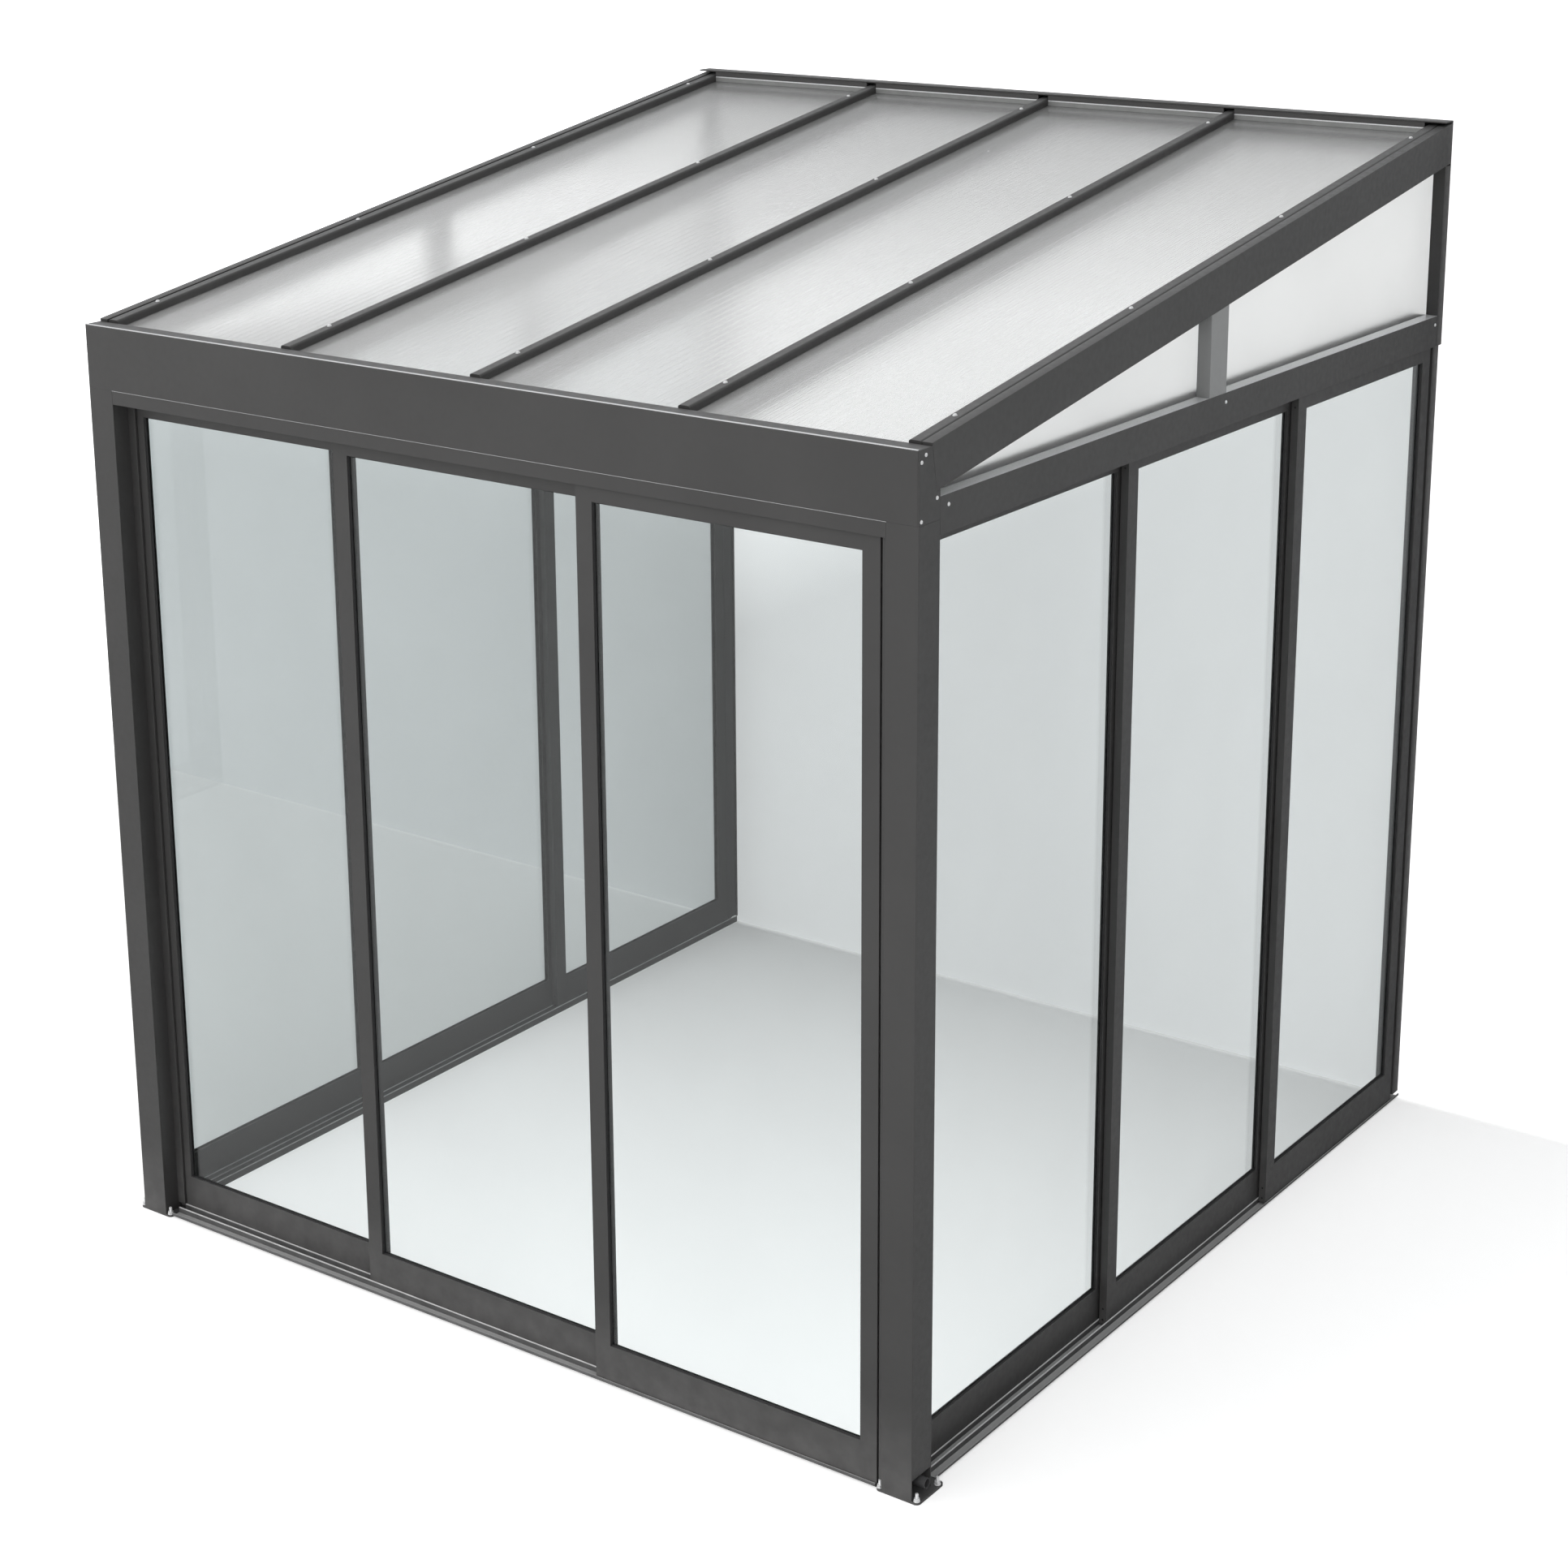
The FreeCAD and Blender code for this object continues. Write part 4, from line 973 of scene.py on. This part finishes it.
class CONSERVATORY_OT_screws(bpy.types.Operator):
    """Makes the roof screws and the screws of the frame's outer faces"""

    bl_idname = "conservatory.screws"
    bl_label = "Screws"

    def execute(self, context):
        pitch = roof_pitch()
        square = Vector((0, -math.sin(pitch), math.cos(pitch)))
        places = [(roof_screw_seat(box, square), square) for box in solid_boxes("roof_screws")]
        mesh = fasteners("roof_screws_hex", roof_screw_shape(), places, "zinc_plate")
        stand_in("roof_screws", "roof_screws_hex", mesh, "zinc_plate")
        places = [frame_screw_seat(box) for box in solid_boxes("frame_screws")]
        mesh = fasteners("frame_screws_button", frame_screw_shape(), places, "zinc_plate")
        stand_in("frame_screws", "frame_screws_button", mesh, "zinc_plate")
        return {"FINISHED"}


def roof_screw_seat(box, square):
    """Where a roof screw's head meets its cap: below the middle of the head's top."""
    low, high = box
    top = Vector(((low.x + high.x) / 2, low.y, high.z))
    top.y += HEX_RADIUS * square.z
    top.z += HEX_RADIUS * square.y
    return top - square * HEX_HEAD


def frame_screw_seat(box):
    """Where a frame screw's head meets the outer face, and the way that it points."""
    low, high = box
    middle = (low + high) / 2
    if middle.x < 0:
        return Vector((low.x + BUTTON_HEAD, middle.y, middle.z)), Vector((-1, 0, 0))
    return Vector((high.x - BUTTON_HEAD, middle.y, middle.z)), Vector((1, 0, 0))


def roof_screw_shape():
    """A hexagon head on a washer face, with its shank below."""
    bm = bmesh.new()
    flats = hexagon(8 * MM)
    lathe(bm, millimetres((-20, 2.4), (0, 2.4), (0, 5.5), (0.7, 5.5), (1.1, 4.9), (1.1, flats),
                          (3.0, flats), (3.5, 3.5)), steps=24)
    return closed_mesh(bm, "roof_screw_shape")


def frame_screw_shape():
    """A low domed head with a hexagon recess."""
    bm = bmesh.new()
    recess = hexagon(3 * MM)
    lathe(bm, millimetres((-2.8, 2), (0, 2), (0, 4.5), (0.6, 4.5), (1.6, 3.9), (2.2, 3.0),
                          (2.5, 2.0), (2.5, recess), (1.0, recess)), steps=24)
    return closed_mesh(bm, "frame_screw_shape")


class CONSERVATORY_OT_anchor_bolts(bpy.types.Operator):
    """Makes the studs, washers and nuts on the foot plates"""

    bl_idname = "conservatory.anchor_bolts"
    bl_label = "Anchor bolts"

    def execute(self, context):
        shape = anchor_shape(context.scene.conservatory_details.thread_pitch)
        places = [(Vector(((low.x + high.x) / 2, (low.y + high.y) / 2, low.z)), Vector((0, 0, 1)))
                  for low, high in solid_boxes("anchor_bolts")]
        mesh = fasteners("anchor_bolts_threaded", shape, places, "zinc_plate")
        stand_in("anchor_bolts", "anchor_bolts_threaded", mesh, "zinc_plate")
        return {"FINISHED"}


def anchor_shape(pitch):
    """A threaded stud with a washer and a chamfered nut."""
    bm = bmesh.new()
    rings = millimetres((0, 4), (13.5, 4))
    height = THREAD_START
    while height + pitch < THREAD_END:
        rings += [(height, 3.45 * MM), (height + pitch / 2, 4 * MM)]
        height += pitch
    rings += [(THREAD_END, 3.6 * MM), (26 * MM, 3.2 * MM)]
    lathe(bm, rings, steps=20)
    washer = millimetres((6.0, 4.15), (6.0, 7.8), (6.3, 8), (7.3, 8), (7.6, 7.8), (7.6, 4.15))
    lathe(bm, washer, steps=24, closed=True)
    flats = hexagon(13 * MM)

    def chamfer(angle):
        return min(flats(angle), 6.6 * MM)

    nut = millimetres((7.65, 4.15), (7.65, chamfer), (8.2, flats), (13.5, flats), (14.1, chamfer),
                      (14.1, 4.15))
    lathe(bm, nut, steps=36, closed=True)
    return closed_mesh(bm, "anchor_shape")


class CONSERVATORY_OT_drain_spouts(bpy.types.Operator):
    """Makes the rainwater outlets with a rounded rim"""

    bl_idname = "conservatory.drain_spouts"
    bl_label = "Drain spouts"

    def execute(self, context):
        bm = bmesh.new()
        for low, high in solid_boxes("drain_spouts"):
            add_spout(bm, low, high)
        mesh = closed_mesh(bm, "drain_spouts_pipe")
        stand_in("drain_spouts", "drain_spouts_pipe", mesh, "pipe_plastic")
        return {"FINISHED"}


def add_spout(bm, low, high):
    """One pipe that points away from the middle, its rim rounded."""
    radius, reach = (high.z - low.z) / 2, high.x - low.x
    bore = radius - PIPE_WALL
    outwards = 1 if low.x > 0 else -1
    start = low.x if outwards > 0 else high.x
    rim = reach - 0.8 * MM
    rings = [(0, bore), (0, radius), (rim, radius), (reach, radius - 0.7 * MM),
             (reach, bore + 0.4 * MM), (rim, bore)]
    made = lathe(bm, rings, closed=True)
    turn = Matrix.Rotation(math.radians(90 * outwards), 4, "Y")
    centre = Matrix.Translation((start, (low.y + high.y) / 2, (low.z + high.z) / 2))
    bmesh.ops.transform(bm, matrix=centre @ turn, verts=made)


class CONSERVATORY_OT_stage(bpy.types.Operator):
    """Sets the floor, the pale wall behind, the light and the camera"""

    bl_idname = "conservatory.stage"
    bl_label = "Stage"

    def execute(self, context):
        settings = context.scene.conservatory_stage
        context.scene.view_settings.view_transform = "Standard"
        light_world(settings)
        side = settings.floor_size / 2
        floor = stage_plane("stage_floor", [
            (-side, -side, 0), (side, -side, 0), (side, side, 0), (-side, side, 0)], floor_finish())
        back = cad_box[1].y + WALL_GAP
        wall = stage_plane("stage_wall", [
            (-side, back, 0), (side, back, 0), (side, back, WALL_HEIGHT),
            (-side, back, WALL_HEIGHT)], wall_finish())
        set_camera(settings)
        return {"FINISHED"}


def stage_plane(name, corners, material):
    mesh = bpy.data.meshes.new(name)
    mesh.from_pydata(corners, [], [range(len(corners))])
    mesh.materials.append(material)
    return new_object(name, mesh)


def light_world(settings):
    """Soft light, stronger from above and from the side it leans to. The camera sees it white."""
    world = bpy.data.worlds.new("soft_studio")
    world.use_nodes = True
    tree = world.node_tree
    way = add_node(tree, "ShaderNodeTexCoord").outputs["Generated"]
    level = ramp(tree, parts_of(tree, way)["Z"], 0.0, 1.0, settings.horizon, settings.sky)
    side = add_node(tree, "ShaderNodeVectorMath", {0: way, 1: settings.lean},
                    operation="DOT_PRODUCT")
    total = math_node(tree, "ADD", level, side.outputs["Value"])
    direct = add_node(tree, "ShaderNodeLightPath").outputs["Is Camera Ray"]
    set_inputs(tree, tree.nodes["Background"], {
        "Color": WHITE, "Strength": blend(tree, direct, total, 1.0)})
    bpy.context.scene.world = world


def stage_finish(name, rgba):
    """A matt finish that can glow, with its light path and the parts of its place."""
    material, tree, shader = new_finish(name, {
        "Base Color": rgba, "Roughness": 0.9, "Specular IOR Level": 0.0, "Emission Color": WHITE})
    path = add_node(tree, "ShaderNodeLightPath").outputs
    return material, tree, shader, path, parts_of(tree, own_place(tree))


def within(tree, value, reach):
    """One where a value lies no further than a reach from zero."""
    return math_node(tree, "LESS_THAN", math_node(tree, "ABSOLUTE", value), reach)


def floor_finish():
    """Pale floor that keeps a soft shadow. Through glass it shows brighter under the roof."""
    material, tree, shader, path, place = stage_finish("stage_floor", (0.8, 0.8, 0.8, 1.0))
    high = cad_box[1]
    inside = math_node(
        tree, "MULTIPLY", within(tree, place["X"], high.x), within(tree, place["Y"], high.y))
    depth = ramp(tree, place["Y"], *FLOOR_GLOW)
    side = math_node(tree, "MULTIPLY", place["X"], FLOOR_TO_RIGHT)
    lit = math_node(tree, "MULTIPLY", inside, math_node(tree, "ADD", depth, side))
    glow = math_node(tree, "ADD", lit, FLOOR_AROUND)
    direct = math_node(tree, "MULTIPLY", path["Is Camera Ray"], FLOOR_SHOWN)
    through = math_node(tree, "MULTIPLY", path["Is Transmission Ray"], glow)
    set_inputs(tree, shader, {"Emission Strength": math_node(tree, "ADD", direct, through)})
    return material


def wall_finish():
    """Pale wall seen from the front only, which leaves the light on the faces that touch it."""
    material, tree, shader, path, place = stage_finish("stage_wall", (0.75, 0.76, 0.77, 1.0))

    def above(rise):
        line = math_node(tree, "MULTIPLY", place["X"], rise)
        return math_node(tree, "SUBTRACT", place["Z"], line)

    room = ramp(tree, place["Z"], *ROOM_GLOW)
    to_right = ramp(tree, place["X"], *RIGHT_GLOW)
    behind_roof = ramp(tree, above(ROOF_RISE), *ROOF_GLOW)
    lit = math_node(tree, "ADD", room, math_node(tree, "ADD", to_right, behind_roof))
    beside = ramp(tree, place["Z"], *BESIDE_GLOW)
    behind_gable = ramp(tree, above(HEADER_RISE), *GABLE_GLOW)
    bare = math_node(tree, "ADD", beside, behind_gable)
    glow = blend(tree, within(tree, place["X"], cad_box[1].x), bare, lit)
    through = math_node(tree, "MULTIPLY", path["Is Transmission Ray"], glow)
    shown = math_node(tree, "ADD", path["Is Camera Ray"], through)
    set_inputs(tree, shader, {"Emission Strength": shown})
    behind = add_node(tree, "ShaderNodeNewGeometry").outputs["Backfacing"]
    near = math_node(tree, "LESS_THAN", path["Ray Length"], WALL_TOUCH)
    either = add_node(tree, "ShaderNodeMixShader", {
        0: math_node(tree, "MAXIMUM", behind, near), 1: shader.outputs["BSDF"],
        2: add_node(tree, "ShaderNodeBsdfTransparent").outputs["BSDF"]})
    set_inputs(tree, tree.nodes["Material Output"], {"Surface": either.outputs["Shader"]})
    return material


def set_camera(settings):
    data = bpy.data.cameras.new("camera")
    data.sensor_width = settings.sensor
    data.lens = settings.lens
    data.shift_y = settings.shift
    camera = new_object("camera", data)
    camera.location = settings.camera_place
    camera.rotation_euler = Euler(settings.camera_turn)
    bpy.context.scene.camera = camera


OPERATORS = (
    CONSERVATORY_OT_frame_profiles,
    CONSERVATORY_OT_sills,
    CONSERVATORY_OT_roof_sheets,
    CONSERVATORY_OT_bar_caps,
    CONSERVATORY_OT_sliding_panels,
    CONSERVATORY_OT_gables,
    CONSERVATORY_OT_trims,
    CONSERVATORY_OT_screws,
    CONSERVATORY_OT_anchor_bolts,
    CONSERVATORY_OT_drain_spouts,
    CONSERVATORY_OT_stage,
)


class CONSERVATORY_PT_sidebar(bpy.types.Panel):
    """Lists the conservatory's pieces and their settings"""

    bl_idname = "CONSERVATORY_PT_sidebar"
    bl_label = "Conservatory"
    bl_space_type = "VIEW_3D"
    bl_region_type = "UI"
    bl_category = "Conservatory"

    def draw(self, context):
        for group_name in GROUPS:
            group = getattr(context.scene, group_name)
            column = self.layout.column()
            for name in group.__annotations__:
                column.prop(group, name)
        for operator in OPERATORS:
            self.layout.operator(operator.bl_idname)


GROUPS = {
    "conservatory_finishes": ConservatoryFinishes,
    "conservatory_details": ConservatoryDetails,
    "conservatory_stage": ConservatoryStage,
}


def register():
    for name, group in GROUPS.items():
        bpy.utils.register_class(group)
        setattr(bpy.types.Scene, name, PointerProperty(type=group))
    for item in (*OPERATORS, CONSERVATORY_PT_sidebar):
        bpy.utils.register_class(item)


def unregister():
    for item in (CONSERVATORY_PT_sidebar, *reversed(OPERATORS)):
        bpy.utils.unregister_class(item)
    for name, group in reversed(GROUPS.items()):
        delattr(bpy.types.Scene, name)
        bpy.utils.unregister_class(group)


def main():
    register()
    bpy.ops.conservatory.frame_profiles()
    bpy.ops.conservatory.sills()
    bpy.ops.conservatory.roof_sheets()
    bpy.ops.conservatory.bar_caps()
    bpy.ops.conservatory.sliding_panels()
    bpy.ops.conservatory.gables()
    bpy.ops.conservatory.trims()
    bpy.ops.conservatory.screws()
    bpy.ops.conservatory.anchor_bolts()
    bpy.ops.conservatory.drain_spouts()
    bpy.ops.conservatory.stage()


if __name__ == "__main__":
    main()
